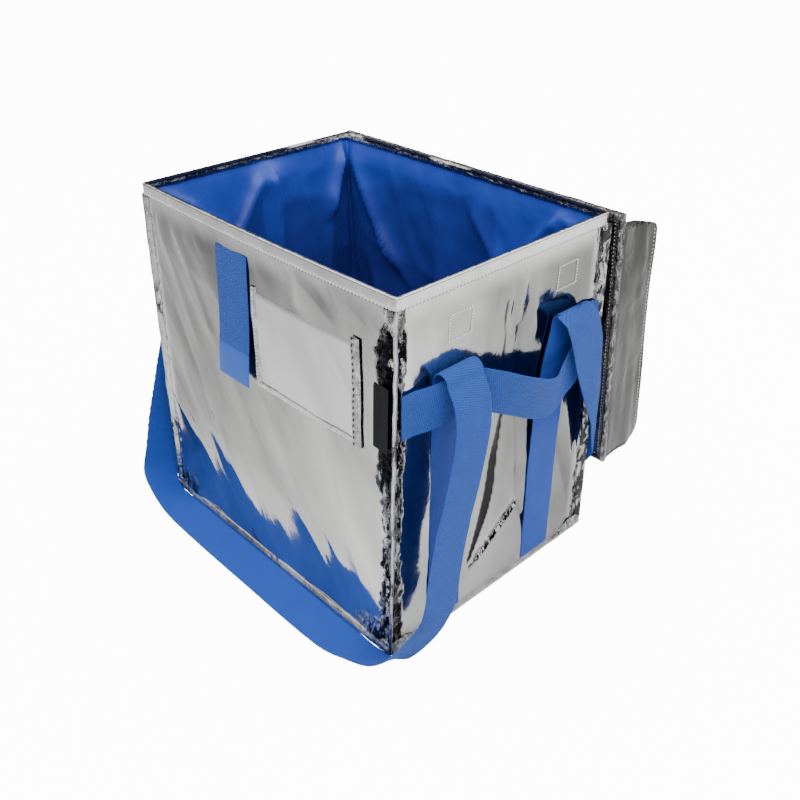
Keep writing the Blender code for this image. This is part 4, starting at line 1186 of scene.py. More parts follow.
@dataclass
class Edging:
    """The crumpled tape over the rim, round the base and up the corners."""

    size: ToteSize
    walls: Walls
    bench: dict
    tape: float = 0.0100
    inside: float = 0.0060
    base_band: float = 0.0108
    fin: float = 0.0052
    short_fin: float = 0.0024
    seam_inside: float = 0.0066
    front_seam: float = 0.0034
    back_seam: float = 0.0022
    seam_wave: float = 0.0007
    seam_ripple: float = 0.00022

    def band(self, name: str, profile: list[tuple[float, float, float]], crush: float, crumple: list[float],
             node: str, painted_shade: list[float] | None = None) -> None:
        """Sweep a profile round the box.

        Args:
            name: the piece's name.
            profile: for each point its height, its distance out and its
                share of the crushing.
            crush: how deep the crushing is.
            crumple: how crumpled the film is at each point.
            node: the solid that the piece stands for.
            painted_shade: painted dark reflection, how dark each point of the profile is painted.
        """
        rows = []
        for level, out, share in profile:
            ring = self.square_loop(level, out)
            if node == "base_binding":
                lip = min(level, 0.0028)
                ring[:, 2] = lip + (level - lip) * (0.8 + 0.9 * smooth_step(self.rough(ring, node), 0.4, 1.0))
            harsh = crush * share * self.rough(ring, node)
            rows.append(ring + unit(ring * (1, 1, 0)) * (noise(ring + 7 * out, 0.0055, 61) * harsh)[:, None]
                        + UP * (noise(ring + 3, 0.005, 62) * 0.6 * harsh)[:, None])
        rows = np.array(rows)
        mask = np.array(crumple)[:, None] * self.rough(rows[0], node)[None, :]
        fold = np.zeros(mask.shape)
        # Painted dark reflection over the rim's top and inner face, broken by long gaps
        if painted_shade is not None:
            gaps = smooth_step(noise(rows, (0.034, 0.034, 0.0035), 63), -0.55, -0.15)
            fold = np.array(painted_shade)[:, None] * gaps * smooth_step(self.rough(rows[0], node), 0.3, 0.9)[None, :]
        finish = self.bench["hem" if node == "base_binding" else "tape"]
        made = add_mesh(name, rows, ring_faces(*rows.shape[:2]), [finish], crumple=mask, painted_shade=fold)
        fix_normals(made)
        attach(made, "tote")
        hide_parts(node)

    def rough(self, ring: Array, node: str) -> Array:
        """How roughly the tape is crushed at each place round the box."""
        if node == "base_binding":
            corner = self.size.half_width - np.abs(ring[:, 0]) + self.size.base_half - np.abs(ring[:, 1])
            return 0.18 + 0.82 * smooth_step(corner, 0.050, 0.012)
        back = smooth_step(ring[:, 1], 0.125, 0.137)
        left = smooth_step(-ring[:, 0], 0.176, 0.190)
        off = self.size.half_width - np.abs(ring[:, 0]) + self.size.rim_half - np.abs(ring[:, 1])
        corner = smooth_step(off, 0.012, 0.003)
        return np.clip(0.12 + 0.88 * np.maximum(np.maximum(back, left), 0.6 * corner), 0, 1)

    def square_loop(self, level: float, out: float) -> Array:
        """An even loop round the box at a level: straight sides, small corners."""
        size = self.size
        wide = size.half_width + out
        deep = float(size.half_depth(level)) + out
        radius = max(0.0025, 0.004 + out)
        bow = self.walls.rim_bow * min(1.0, max(0.0, level / size.height)) ** 2
        belly = self.walls.belly * 4 * (level / size.height) * (1 - min(1.0, level / size.height))
        step = 0.0026
        points = []
        corners = np.array(((-wide, -deep), (wide, -deep), (wide, deep), (-wide, deep)))
        for number, start in enumerate(corners):
            stop, along = corners[(number + 1) % 4], number % 2
            way = unit((stop - start)[None])[0]
            normal = np.array((way[1], -way[0]))
            length = np.linalg.norm(stop - start) - 2 * radius
            count = int(2 * (size.base_half if along else size.half_width) / step)
            for k in range(count + 1):
                t = k / count
                push = (bow + belly) * 4 * t * (1 - t) if along == 0 else 0.0
                points.append(start + way * (radius + length * t) + normal * push)
            centre = stop - way * radius - normal * radius
            for k in range(1, 4):
                turn = math.pi / 2 * k / 4
                points.append(centre + normal * radius * math.cos(turn) + way * radius * math.sin(turn))
        flat = np.array(points)
        return np.column_stack([flat, np.full(len(flat), level)])

    def build_rim(self) -> None:
        """The tape folded over the rim."""
        top = self.size.height
        skin, back = 0.0012, -0.0056
        centre = (skin + back) / 2
        profile = [
            (top - self.tape, 0.0006, 0.0), (top - self.tape + 0.0004, 0.0007, 0.05),
            (top - self.tape * 0.6, 0.0007, 0.12), (top - 0.0006, 0.0006, 0.12), (top + 0.0002, 0.0005, 0.12),
            (top + 0.0007, 0.0001, 0.2), (top + 0.0009, -0.0005, 0.3), (top + 0.0010, centre, 0.9),
            (top + 0.0005, back + 0.0012, 1.0), (top - 0.0012, back, 1.0), (top - 0.0038, back - 0.0005, 1.1),
            (top - self.inside, back - 0.0010, 0.9), (top - self.inside, back + 0.0004, 0.4),
            (top - 0.0035, back + 0.0014, 0.0), (top - 0.0022, centre, 0.0), (top - 0.0030, -0.0004, 0.0),
            (top - self.tape, -0.0006, 0.0)]
        mask = [0.05, 0.05, 0.05, 0.06, 0.08, 0.1, 0.15, 0.2, 0.2, 0.25, 0.3, 0.3, 0.2, 0, 0, 0, 0]
        # The rim's top and inner face are painted dark at the back and left, in place of the dark inside they
        # reflect
        painted_shade = [0, 0, 0, 0, 0, 0, 0.2, 1.0, 1.0, 1.0, 0.5, 0, 0, 0, 0, 0, 0]
        self.band("rim_tape", profile, 0.0005, mask, "rim_binding", painted_shade)

    def build_base(self) -> None:
        """The folded tape round the base."""
        high = self.base_band
        profile = [
            (0.0010, 0.0008, 0.3), (0.0018, 0.0028, 0.5), (0.0030, 0.0041, 0.9), (high * 0.55, 0.0024, 1.0),
            (high * 0.78, 0.0006, 0.7), (high * 0.88, 0.0001, 0.2), (high * 0.75, -0.0008, 0.0),
            (0.0020, -0.0008, 0.0)]
        self.band("base_tape", profile, 0.0009, [0.4, 0.5, 0.55, 0.5, 0.6, 0.5, 0, 0], "base_binding")

    def build_corner(self, side: Side, face: int) -> None:
        """A seam fin standing in one corner's valley."""
        size = self.size
        low, high = 0.006, size.height - self.tape
        z = np.linspace(low, high, 150)
        name = ("front" if face < 0 else "back") + "_" + side.word
        reach = self.fin if face < 0 and side is Side.RIGHT else self.short_fin
        spread = np.linspace(-self.seam_inside, reach, 9)
        lean = (0.707, 0.707) if side is Side.RIGHT else (0.25, -0.97) if face < 0 else (0.6, 0.8)
        way = np.array((side.value * lean[0], face * lean[1], 0.0))
        inner = np.array((side.value, face, 0.0)) / math.sqrt(2)
        cross = np.array((-way[1], way[0], 0.0))
        base = stacked(side.value * size.half_width, face * size.half_depth(z), z)
        run = np.where(spread[:, None] < 0, spread[:, None] * inner, spread[:, None] * way)
        grid = base[:, None, :] + run[None, :, :]
        wave = noise(grid, (1, 1, 0.018), 71) * self.seam_wave
        wave = wave + noise(grid, (1, 1, 0.0045), 72) * self.seam_ripple
        grid = grid + cross * wave[..., None]
        uvs = stacked(spread[None, :], z[:, None])
        thick = self.front_seam if face < 0 else self.back_seam
        crush = 0.9 + 0 * wave
        if face < 0:
            crush = 0.12 + 0.55 * smooth_step(noise(grid, (1, 1, 0.022), 74), -0.1, 0.4)
        fin = two_faced("corner_seam_tape_" + name, grid, thick, (self.bench["seam"],) * 2, uvs, crush, 0.35)
        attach(fin, "tote")
        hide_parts("corner_seam_" + name)

    def build(self) -> None:
        """Build the rim tape, the base tape and the four corner seams."""
        self.build_rim()
        self.build_base()
        for side in Side:
            for face in (-1, 1):
                self.build_corner(side, face)


@dataclass
class FrontTrim:
    """The pocket with its tapes, the label and the closure strap."""

    size: ToteSize
    walls: Walls
    bench: dict
    left: float = -0.002
    right: float = 0.152
    low: float = 0.224
    high: float = 0.329
    tape_thick: float = 0.0009
    label_left: float = 0.1665
    label_right: float = 0.1870
    label_low: float = 0.2350
    label_high: float = 0.3000
    closure_x: float = -0.031
    closure_drop: float = 0.024
    closure_length: float = 0.135
    closure_width: float = 0.050
    closure_thick: float = 0.0016

    def on_wall(self, x: Array, z: Array, out: Array | float) -> Array:
        """Points on the front wall, moved outwards."""
        half = self.size.half_width - self.walls.tuck
        flat = self.walls.front_wall(np.asarray(x) / half, np.asarray(z), -1)[0]
        return flat - stacked(0.0, out, 0.0)

    def strip(self, name: str, start: tuple, stop: tuple, width: float, out: float, crumple: float,
              node: str | None = None) -> None:
        """A sewn tape on the front wall between two (x, height) points."""
        a, b = np.array(start), np.array(stop)
        way = unit((b - a)[None])[0]
        side = np.array((-way[1], way[0]))
        count = max(6, int(np.linalg.norm(b - a) / 0.003))
        t = np.linspace(0, 1, count)[:, None, None]
        s = np.linspace(-0.5, 0.5, 7)[None, :, None]
        flat = a + (b - a) * t + side * s * width
        dive = 0.0 if crumple > 0.3 else (out + 0.0005) * np.abs(2 * s[..., 0]) ** 8
        grid = self.on_wall(flat[..., 0], flat[..., 1], out - dive)
        grid = grid + stacked(0.0, -noise(grid, 0.006, 81) * 0.0003, 0.0)
        uvs = stacked(s[..., 0] * width, t[..., 0] * np.linalg.norm(b - a))
        made = two_faced(name, grid, self.tape_thick, (self.bench["hem"],) * 2, uvs, crumple, 0.12)
        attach(made, "tote")
        if node:
            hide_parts(node)

    def build_pocket(self) -> None:
        """The pocket's clear film and the tapes on three of its sides."""
        x = np.linspace(self.left + 0.004, self.right - 0.004, 52)[None, :]
        z = np.linspace(self.low + 0.003, self.high - 0.001, 38)[:, None]
        middle = np.sin(np.pi * (x - self.left) / (self.right - self.left))
        gap = 0.0001 + 0.0002 * smooth_step(z, self.high - 0.03, self.high) * middle ** 2
        sag = -0.0022 * smooth_step(z, self.low + 0.05, self.high) * middle
        x, z = np.broadcast_arrays(x, z)
        lip = 0.0010 * smooth_step(z, self.high - 0.005, self.high - 0.001)
        grid = self.on_wall(x, z, gap + 0.0004 - lip)
        grid = grid + stacked(0.0, noise(stacked(x, 0.0, z), 0.03, 83) * 0.0005, sag)
        uvs = stacked(x, z)
        film = two_faced("pocket_window", grid, 0.0005, (self.bench["window"],) * 2, uvs, edge_share=0.1)
        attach(film, "tote")
        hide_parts("pocket_sheet")
        low, high, left, right = self.low, self.high, self.left, self.right
        self.strip("pocket_tape_left", (left + 0.0045, low), (left + 0.0035, high + 0.002), 0.009, 0.0008,
                   0.25, "pocket_binding")
        self.strip("pocket_tape_right", (right - 0.005, low), (right - 0.006, high + 0.004), 0.0115, 0.0018,
                   0.35)
        self.strip("pocket_tape_foot", (left, low + 0.0045), (right, low + 0.0045), 0.009, 0.0008, 0.12)

    def build_label(self) -> None:
        """The bare dark label sewn beside the corner seam."""
        x = np.linspace(self.label_left, self.label_right, 10)[None, :]
        z = np.linspace(self.label_low, self.label_high, 30)[:, None]
        x, z = np.broadcast_arrays(x, z)
        width = self.label_right - self.label_left
        lift = 0.0006 + 0.0020 * ((x - self.label_left) / width) ** 2
        grid = self.on_wall(x, z, lift + 0.0010)
        grid[..., 1] = -(self.size.half_depth(z) + lift + 0.0004)
        uvs = stacked(x, z)
        made = two_faced("side_label_tape", grid, 0.0007, (self.bench["label"],) * 2, uvs)
        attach(made, "tote")
        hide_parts("side_label")

    def build_closure(self) -> None:
        """The closure strap: ribbed webbing with a smooth tab at its end."""
        top = self.size.height - self.closure_drop
        down = np.linspace(0, 1, 60)
        out = spline(np.array(((0.0, 0.0), (0.3, 0.12), (0.6, 0.5), (0.8, 0.85), (1.0, 1.0))), 12)
        off = np.interp(down, out[:, 0], out[:, 1])
        z = top - down * self.closure_length
        y = -(self.size.half_depth(z) + 0.0030 + off * 0.0075) - 0.0006 * np.sin(down * 7)
        path = stacked(0.0008 * down + self.closure_x, y, z)
        ways = np.tile((1.0, 0.0, 0.0), (len(path), 1))
        split = 44
        parts = (("closure_webbing", slice(0, split + 1), self.closure_width, ("ribbed", "plain")),
                 ("closure_tab", slice(split, None), 0.0505, ("tab", "tab")))
        for name, part, width, finishes in parts:
            grid, uvs = ribbon_grid(path[part], ways[part], width)
            made = two_faced(name, grid, self.closure_thick, tuple(self.bench[f] for f in finishes), uvs)
            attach(made, "closure_strap")
            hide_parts("closure_strap")

    def build(self) -> None:
        """Build the trim."""
        self.build_pocket()
        self.build_label()
        self.build_closure()


@dataclass
class Straps:
    """The two carry straps, their sewn ends and the grab handles."""

    size: ToteSize
    bench: dict
    width: float = 0.044
    thick: float = 0.0016
    spacing: float = 0.004
    leg: float = 0.1931
    radius: float = 0.0091
    fold_height: float = 0.2925
    foot: float = 0.0099
    front_fold: float = -0.077
    back_fold: float = 0.084
    back_leg: float = 0.066
    back_end: float = 0.2885
    back_top: float = 0.3083
    front_end: float = 0.282
    smoothing: int = 20
    ripple: float = 0.0004
    fine_ripple: float = 0.00035
    buckle: float = 0.00085
    floor: float = 0.0013
    stand_off: float = 0.0343
    tape_clear: float = 0.0013
    shoulder_shares: tuple = (
        (0.18, 0.0), (0.35, 0.0), (0.5, 0.02), (0.65, 0.1), (0.75, 0.28), (0.85, 0.5), (0.95, 0.85))
    right_drop: tuple = (
        (0.890, -0.530, 0.722, 0.0, -1.0, 0.05), (1.000, -0.545, 0.643, 0.0, -1.0, 0.05),
        (1.000, -0.610, 0.512, 0.0, -1.0, 0.12), (0.940, -0.680, 0.381, 0.0, -1.0, 0.20),
        (0.880, -0.715, 0.273, 0.0, -1.0, 0.25), (0.850, -0.740, 0.163, 0.0, -0.93, 0.37),
        (0.760, -0.800, 0.090, 0.05, -0.75, 0.66))
    left_drop: tuple = (
        (0.890, -0.530, 0.722, 0.0, -1.0, 0.05), (1.000, -0.570, 0.643, 0.0, -1.0, 0.08),
        (0.960, -0.690, 0.500, 0.0, -1.0, 0.18), (0.760, -0.880, 0.315, 0.0, -0.97, 0.25),
        (0.600, -0.990, 0.205, -0.03, -0.95, 0.30), (0.460, -1.060, 0.120, -0.1, -0.90, 0.42))
    right_corner: tuple = (
        (0.430, -0.150, 0.420, 0.20, -0.50, 0.80), (0.270, -0.400, 0.260, 0.45, -0.72, 0.45))
    left_corner: tuple = ((0.200, -0.430, 0.420, -0.30, -0.80, 0.50),)
    back_drop: tuple = (
        (-0.290, 0.640), (-0.185, 0.545), (-0.060, 0.440), (0.085, 0.330), (0.235, 0.225), (0.400, 0.135),
        (0.600, 0.080))
    run_places: tuple = ((0.91, 0.200), (0.77, 0.045), (0.40, 0.0), (0.0, 0.0))
    handle_reach: tuple[float, float, float, float] = (0.270, 0.0260, 0.0045, 0.042)
    handle: tuple = (
        (-0.88, 0.00, 0.0, 0.00, 0.00), (-0.72, 0.30, 0.5, 0.00, 0.00), (-0.554, 0.35, 1.0, 0.00, 0.00),
        (-0.44, 0.38, 0.9, 0.00, 0.05), (-0.27, 0.78, 0.0, 0.10, 0.15), (-0.08, 1.00, 0.0, 0.42, 0.25),
        (0.14, 1.00, 0.0, 0.80, 0.20), (0.32, 0.86, 0.0, 1.00, 0.10), (0.47, 0.56, 0.0, 1.00, 0.00),
        (0.61, 0.35, 0.0, 0.80, 0.00), (0.75, 0.33, 0.0, 0.40, 0.00), (0.88, 0.00, 0.0, 0.00, 0.00))

    @property
    def strap_plane(self) -> float:
        """How far out the hanging strap's middle lies at its fold."""
        return self.leg + 2 * self.radius + self.thick + 0.0006

    def strap_grid(self, path: Array, ways: Array, square: bool = True,
                   floor: float | None = None) -> tuple[Array, Array]:
        """The middle grid of a strap, slightly uneven, and kept off the floor."""
        grid, uvs = ribbon_grid(path, ways, self.width, square)
        ripple = noise(grid, (0.03, 0.03, 0.03), 91) * self.ripple
        ripple = ripple + noise(grid, (0.2, 0.2, 0.011), 92) * self.fine_ripple
        grid = grid + grid_normals(grid) * ripple[..., None]
        level = grid[..., 2]
        bend = smooth_step(level, 0.05, 0.08) * smooth_step(level, 0.19, 0.15) * (grid[..., 0] < -0.21)
        waves = np.sin(uvs[..., 1] * 620 + 9 * uvs[..., 0]) * self.buckle * bend
        grid = grid + grid_normals(grid) * waves[..., None]
        if floor is not None:
            low = floor + self.thick / 2
            grid[..., 2] += np.clip(low - grid[..., 2].min(axis=1), 0, None)[:, None]
        return grid, uvs

    def strap_piece(self, name: str, grid: Array, uvs: Array, faces: tuple[str, str], body: str | None,
                    *nodes: str) -> bpy.types.Object:
        """A strap of webbing around a grid, riding on a body."""
        made = two_faced(name, grid, self.thick, tuple(self.bench[f] for f in faces), uvs, edge_share=0.55,
                         thin_ends=False)
        if body:
            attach(made, body)
        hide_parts(*nodes)
        return made

    def build_back_ends(self) -> None:
        """The back strap's sewn ends, over the handles."""
        for side in Side:
            rows = self.fold_rows(side.value, self.back_leg, self.back_fold, self.back_fold)
            rows.append((side.value * (self.strap_plane - 0.0002), self.back_fold, self.back_end, 0, -1, 0))
            dense = resample(spline(np.array(rows, float), 6), self.spacing)
            grid, uvs = self.strap_grid(dense[:, :3], dense[:, 3:])
            self.strap_piece("back_strap_sewn_" + side.word, grid, uvs, ("plain", "ribbed"), "tote",
                             "back_strap_end_" + side.word)

    def fold_rows(self, side: int, foot: float, shoulder: float, place: float) -> list:
        """A sewn end's stations: up the wall, over the handle and down outside it."""
        rows = [(side * self.leg, foot, self.foot, 0, -1, 0)]
        rise = self.fold_height - self.foot
        for up, over in self.shoulder_shares:
            rows.append((side * self.leg, foot + (shoulder - foot) * over, self.foot + rise * up, 0, -1, 0))
        for step in range(9):
            turn = math.pi * step / 8
            rows.append((side * (self.leg + self.radius * (1 - math.cos(turn))),
                         shoulder + (place - shoulder) * step / 8,
                         self.fold_height + self.radius * math.sin(turn) * 1.15, 0, -1, 0))
        return rows

    def stations(self, side: int, drop: tuple, corner: tuple) -> list:
        """The front strap's stations from its sewn end to the middle of its run."""
        size = self.size
        rows = self.fold_rows(side, self.front_fold, self.front_fold, self.front_fold)
        for out, place, height, wx, wy, wz in drop:
            rows.append((side * (size.half_width + out * self.stand_off), place * size.base_half,
                         height * size.height, side * abs(wx), wy, wz))
        for out, ahead, lift, wx, wy, wz in corner:
            rows.append((side * (size.half_width + self.tape_clear + out * self.width),
                         -(size.base_half + self.tape_clear) + ahead * self.width, lift * self.width,
                         side * abs(wx), wy, wz))
        ahead = -(size.base_half + self.tape_clear + 0.0018 + self.width / 2)
        for share, lift in self.run_places:
            rows.append((side * share * size.half_width, ahead, self.floor + lift * self.width, 0, -1,
                         2 * lift))
        return rows

    def build_front(self) -> None:
        """The front carry strap: sewn ends, folds, and the loop along the floor."""
        right = self.stations(1, self.right_drop, self.right_corner)
        left = self.stations(-1, self.left_drop, self.left_corner)
        rows = resample(spline(np.array(right + left[-2::-1], float), 8), self.spacing)
        for _ in range(self.smoothing):
            even = 0.25 * rows[:-2] + 0.5 * rows[1:-1] + 0.25 * rows[2:]
            share = np.clip((0.16 - rows[1:-1, 2:3]) / 0.03, 0, 1)
            rows[1:-1] += (even - rows[1:-1]) * share
        over = np.abs(rows[:, 0]) > self.leg + 1.2 * self.radius
        outer = np.flatnonzero(over & (rows[:, 2] < self.front_end))
        first, last = outer[0], outer[-1]
        grid, uvs = self.strap_grid(rows[:, :3], rows[:, 3:], floor=0.0005)
        faces = ("plain", "ribbed")
        self.strap_piece("front_carry_strap", grid[first:last + 1], uvs[first:last + 1], faces, "front_strap",
                         "front_strap")
        for side, part in ((Side.RIGHT, slice(0, first + 1)), (Side.LEFT, slice(last, None))):
            made = self.strap_piece("front_strap_sewn_" + side.word, grid[part], uvs[part], faces, None,
                                    "front_strap_end_" + side.word)
            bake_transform(made)

    def build_back(self) -> None:
        """The back carry strap, wrapped round the back corners."""
        size = self.size
        clear, radius = 0.0070, 0.003
        quarter = radius * math.pi / 2
        start = size.base_half + clear - radius
        middle = size.half_width + clear - radius + quarter
        flat = [(self.back_fold - start, self.back_top), (-0.375 * size.base_half, 0.735 * size.height)]
        flat += [(place * size.base_half, height * size.height) for place, height in self.back_drop]
        floor = 0.0005 + self.width / 2
        flat += [(middle * 0.68, floor), (middle, floor)]
        curve = spline(np.array(flat), 8)
        rows = resample(np.column_stack([curve, np.zeros(len(curve))]), self.spacing)[:, :2]
        travel = unit(np.gradient(rows, axis=0))
        travel[0], travel[-1] = (0, -1), (1, 0)
        across = stacked(-travel[:, 1], travel[:, 0])
        spread = np.linspace(-0.5, 0.5, 25)
        half = rows[:, None, :] + across[:, None, :] * (spread[None, :, None] * self.width)
        half[..., 1] = np.maximum(half[..., 1], 0.0006)
        whole = []
        for side, part in ((1, half), (-1, half[-2::-1])):
            along, level = part[..., 0], part[..., 1]
            y = size.half_depth(level) + clear - radius
            run = y - (self.back_fold + self.width * 0.8)
            low = size.half_width + clear
            plane = low + (self.strap_plane - low) * np.clip(-along / run, 0, 1)
            x = plane - radius
            turn = np.clip(along / radius, 0, math.pi / 2)
            past = np.clip(along - quarter, 0, None)
            px = np.where(along <= 0, x + radius, x + radius * np.cos(turn) - past)
            py = np.where(along <= 0, y + along, y + radius * np.sin(turn))
            # Over the handle the strap's top end lies on its own fold
            middle_x = self.leg + self.radius
            round_fold = px - middle_x
            bent = np.clip(level - self.fold_height, 0, None) / round_fold
            upper = level > self.fold_height
            px = np.where(upper, middle_x + round_fold * np.cos(bent), px)
            level = np.where(upper, self.fold_height + round_fold * np.sin(bent) * 1.08, level)
            whole.append(stacked(side * px, py, level))
        grid = np.concatenate(whole)
        lengths = np.concatenate([[0], np.cumsum(np.linalg.norm(np.diff(grid[:, 12], axis=0), axis=1))])
        uvs = stacked((spread * self.width + 0.5)[None, :], lengths[:, None])
        self.strap_piece("back_carry_strap", grid, uvs, ("ribbed", "plain"), "back_strap", "back_strap")

    def build_handles(self) -> None:
        """A grab handle at each end."""
        level, bulge, rise, sag = self.handle_reach
        seam = float(self.size.half_depth(level + self.width / 2)) - 0.0060 - 0.0006
        for side in Side:
            rows = [(self.leg, -seam, level, 0.0)]
            for place, out, up, down, lean in self.handle:
                rows.append((self.leg + out * bulge, place * self.size.rim_half,
                             level + up * rise - down * sag, lean))
            rows.append((self.leg, seam, level, 0.0))
            dense = resample(spline(rows, 8), self.spacing)
            dense[:, 0] = np.maximum(dense[:, 0], self.leg)
            path = dense[:, :3] * (side.value, 1, 1)
            ways = unit(stacked(side.value * dense[:, 3], 0.0, 1.0))
            faces = ("plain", "ribbed") if side is Side.LEFT else ("ribbed", "plain")
            grid, uvs = self.strap_grid(path, ways, square=False)
            self.strap_piece("grab_handle_webbing_" + side.word, grid, uvs, faces, "grab_handle_" + side.word,
                             "grab_handle_" + side.word)

    def build(self) -> None:
        """Build every strap."""
        self.build_back_ends()
        self.build_front()
        self.build_back()
        self.build_handles()


@dataclass
class Lid:
    """The hinged lid that hangs behind, its wings and its tapes."""

    size: ToteSize
    walls: Walls
    bench: dict
    length: float = 0.304
    root: float = 0.003
    half: float = 0.2016
    hinge_y: float = 0.1528
    hinge_z: float = 0.3826
    lean: float = math.radians(4.79586)
    wing_height: float = 0.063
    wing_wave: float = 0.0022
    wing_ripple: float = 0.0008
    wing_droop: float = 0.017
    wing_waist: float = 0.09

    def point(self, along: Array, across: Array, outward: Array) -> Array:
        """A point of the hanging lid, from its hinge line."""
        along, across, outward = np.broadcast_arrays(along, across, outward)
        return np.stack([across, self.hinge_y + along * math.sin(self.lean) - outward * math.cos(self.lean),
                         self.hinge_z - along * math.cos(self.lean) - outward * math.sin(self.lean)], -1)

    def build_panel(self) -> None:
        """The padded panel: foil towards the wall, liner on the other face."""
        a = np.linspace(self.root + 0.0015, self.length - 0.0015, 76)[:, None]
        x = np.linspace(-self.half + 0.0015, self.half - 0.0015, 100)[None, :]
        edge_a = np.minimum(a - self.root, self.length - a)
        edge_x = self.half - np.abs(x)
        rim = smooth_step(np.minimum(edge_a, edge_x), 0.002, 0.022)
        flat = stacked(x, 0.3, a)
        bend = noise(flat, 0.06, 101) * 0.0007 * rim
        middle = self.point(a, x, 0.0035 + bend)
        puff = 0.0026 + 0.0016 * rim + 0.0007 * rim * noise(flat + 3, 0.03, 103)
        uvs = stacked(x, a)
        made = two_faced("lid_panel", middle, 0.0006, (self.bench["lid_top_shaded"], self.bench["liner"]), uvs,
                         0.6 * (1 - rim), puff=puff, edge_share=0.9)
        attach(made, "lid")
        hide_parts("lid_liner", "lid_foam", "lid_skin")

    def build_binding(self) -> None:
        """The crumpled tape folded round the panel's edge."""
        corners = ((self.root, -1), (self.root, 1), (self.length, 1), (self.length, -1))
        path = []
        for index, (along, sign) in enumerate(corners):
            nxt_along, nxt_sign = corners[(index + 1) % 4]
            start = np.array((along, sign * self.half))
            stop = np.array((nxt_along, nxt_sign * self.half))
            count = int(np.linalg.norm(stop - start) / 0.003)
            for k in range(count):
                path.append(start + (stop - start) * k / count)
        path = np.array(path)
        centre = np.array((self.length / 2, 0.0))
        spans = (np.array((self.length / 2 - self.root, self.half)))
        rows = []
        for inset, outward, share in ((0.0065, 0.0079, 0.4), (0.003, 0.0081, 0.8), (0.0004, 0.0072, 1.0),
                                      (0.0, 0.0040, 1.0), (0.0004, 0.0010, 1.0), (0.003, 0.0002, 0.7),
                                      (0.0065, 0.0004, 0.3), (0.006, 0.0012, 0.0), (0.0015, 0.0018, 0.0),
                                      (0.0015, 0.0064, 0.0), (0.006, 0.0071, 0.0)):
            shrink = (spans - inset) / spans
            flat = centre + (path - centre) * shrink
            ring = self.point(flat[:, 0], flat[:, 1], np.full(len(flat), outward))
            rows.append(ring + noise(ring + outward * 9, 0.006, 111)[:, None] * 0.0005 * share * 0.6)
        rows = np.array(rows)
        mask = np.repeat([0.2, 0.4, 0.5, 0.5, 0.5, 0.4, 0.2, 0, 0, 0, 0], rows.shape[1])
        faces = ring_faces(*rows.shape[:2])
        made = add_mesh("lid_edge_tape", rows, faces, [self.bench["lid_tape_shaded"]], crumple=mask)
        fix_normals(made)
        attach(made, "lid")
        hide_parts("lid_binding")

    @property
    def wing_ends(self) -> tuple[float, float]:
        """Where the wings start and stop along the lid."""
        return self.root + 0.0102, self.length - 0.0006

    def wing_span(self, along: Array) -> Array:
        """How far a wing reaches out at a distance along the lid."""
        start, stop = self.root + 0.010, self.length - 0.0003
        full = self.wing_height
        reach = np.full_like(along, full)
        for edge, radius, sign in ((start, 0.013, 1), (stop, 0.026, -1)):
            t = np.clip(1 - sign * (along - edge) / radius, 0, 1)
            reach = np.minimum(reach, full - radius * (1 - np.sqrt(np.clip(1 - t * t, 0, 1))))
        return reach

    def wing_shape(self, side: Side, along: Array, share: Array) -> Array:
        """Middle points of a soft, slightly buckled wing.

        Args:
            side: the wing's side.
            along: distances from the hinge.
            share: distances out from the lid, as a share of the wing's reach.

        Returns:
            The points.
        """
        start, stop = self.wing_ends
        waist = 0.95 - self.wing_waist * np.sin(np.pi * np.clip((along - start) / (stop - start), 0, 1))
        out = 0.0002 - self.wing_span(along) * waist * share
        flat = stacked(0.0, out, along)
        wave = noise(flat, (1, 0.018, 0.110), 121) * self.wing_wave
        wave = wave + noise(flat, (1, 0.009, 0.050), 122) * self.wing_ripple
        wave = wave * smooth_step(share, 0.0, 0.4)
        droop = self.wing_droop * share ** 1.3 * (1 - smooth_step(along - start, 0.0, 0.09))
        return self.point(along + droop, side.value * (0.1994 + wave), out)

    def build_wing(self, side: Side) -> None:
        """One side wing with its crumpled edge."""
        start, stop = self.wing_ends
        t = np.linspace(0, 1, 90)
        t = (1 - np.cos(np.pi * t)) / 2 * 0.5 + t * 0.5
        s = np.linspace(0, 1, 26)
        a, s = np.broadcast_arrays((start + (stop - start) * t)[:, None], s[None, :])
        middle = self.wing_shape(side, a, s)
        reach = self.wing_span(a)
        edge = np.minimum(np.minimum(a - start, stop - a), reach * (1 - s))
        rim = smooth_step(edge, 0.001, 0.009)
        seam = np.exp(-((edge - 0.006) / 0.0012) ** 2)
        uvs = stacked(-reach * s, a)
        faces = ("panel", "liner") if side is Side.RIGHT else ("liner", "panel")
        made = two_faced("wing_panel_" + side.word, middle, 0.0012, tuple(self.bench[f] for f in faces), uvs,
                         0.9 * (1 - rim) + 0.3 * seam, puff=0.0016 * rim - 0.0009 * seam, edge_share=0.6)
        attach(made, "wing_" + side.word)
        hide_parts(*(f"lid_wing_{side.word}_{layer}" for layer in ("liner", "foam", "skin")))

    def build_hinge_tape(self) -> None:
        """The folded tape on the back wall that carries the lid."""
        low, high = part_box("lid_hinge_tape")
        x = np.linspace(low[0], high[0], 80)[None, :]
        z = np.concatenate([np.linspace(low[2], high[2] - 0.0024, 9), np.full(6, high[2] - 0.0006)])[:, None]
        wall = self.size.half_depth(z) + 0.0013 + self.walls.swell(x / self.size.half_width, z)
        share = np.concatenate([np.zeros(9), np.linspace(0.2, 1.0, 6)])[:, None]
        grid = stacked(x, wall + (high[1] - wall) * share, z)
        grid = grid + UP * (noise(grid, (0.012, 1, 1), 131) * 0.0004)[..., None]
        made = two_faced("lid_hinge_tape_folded", grid, 0.0008, (self.bench["tape"],) * 2, grid[..., (0, 2)],
                         0.2)
        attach(made, "tote")
        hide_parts("lid_hinge_tape")

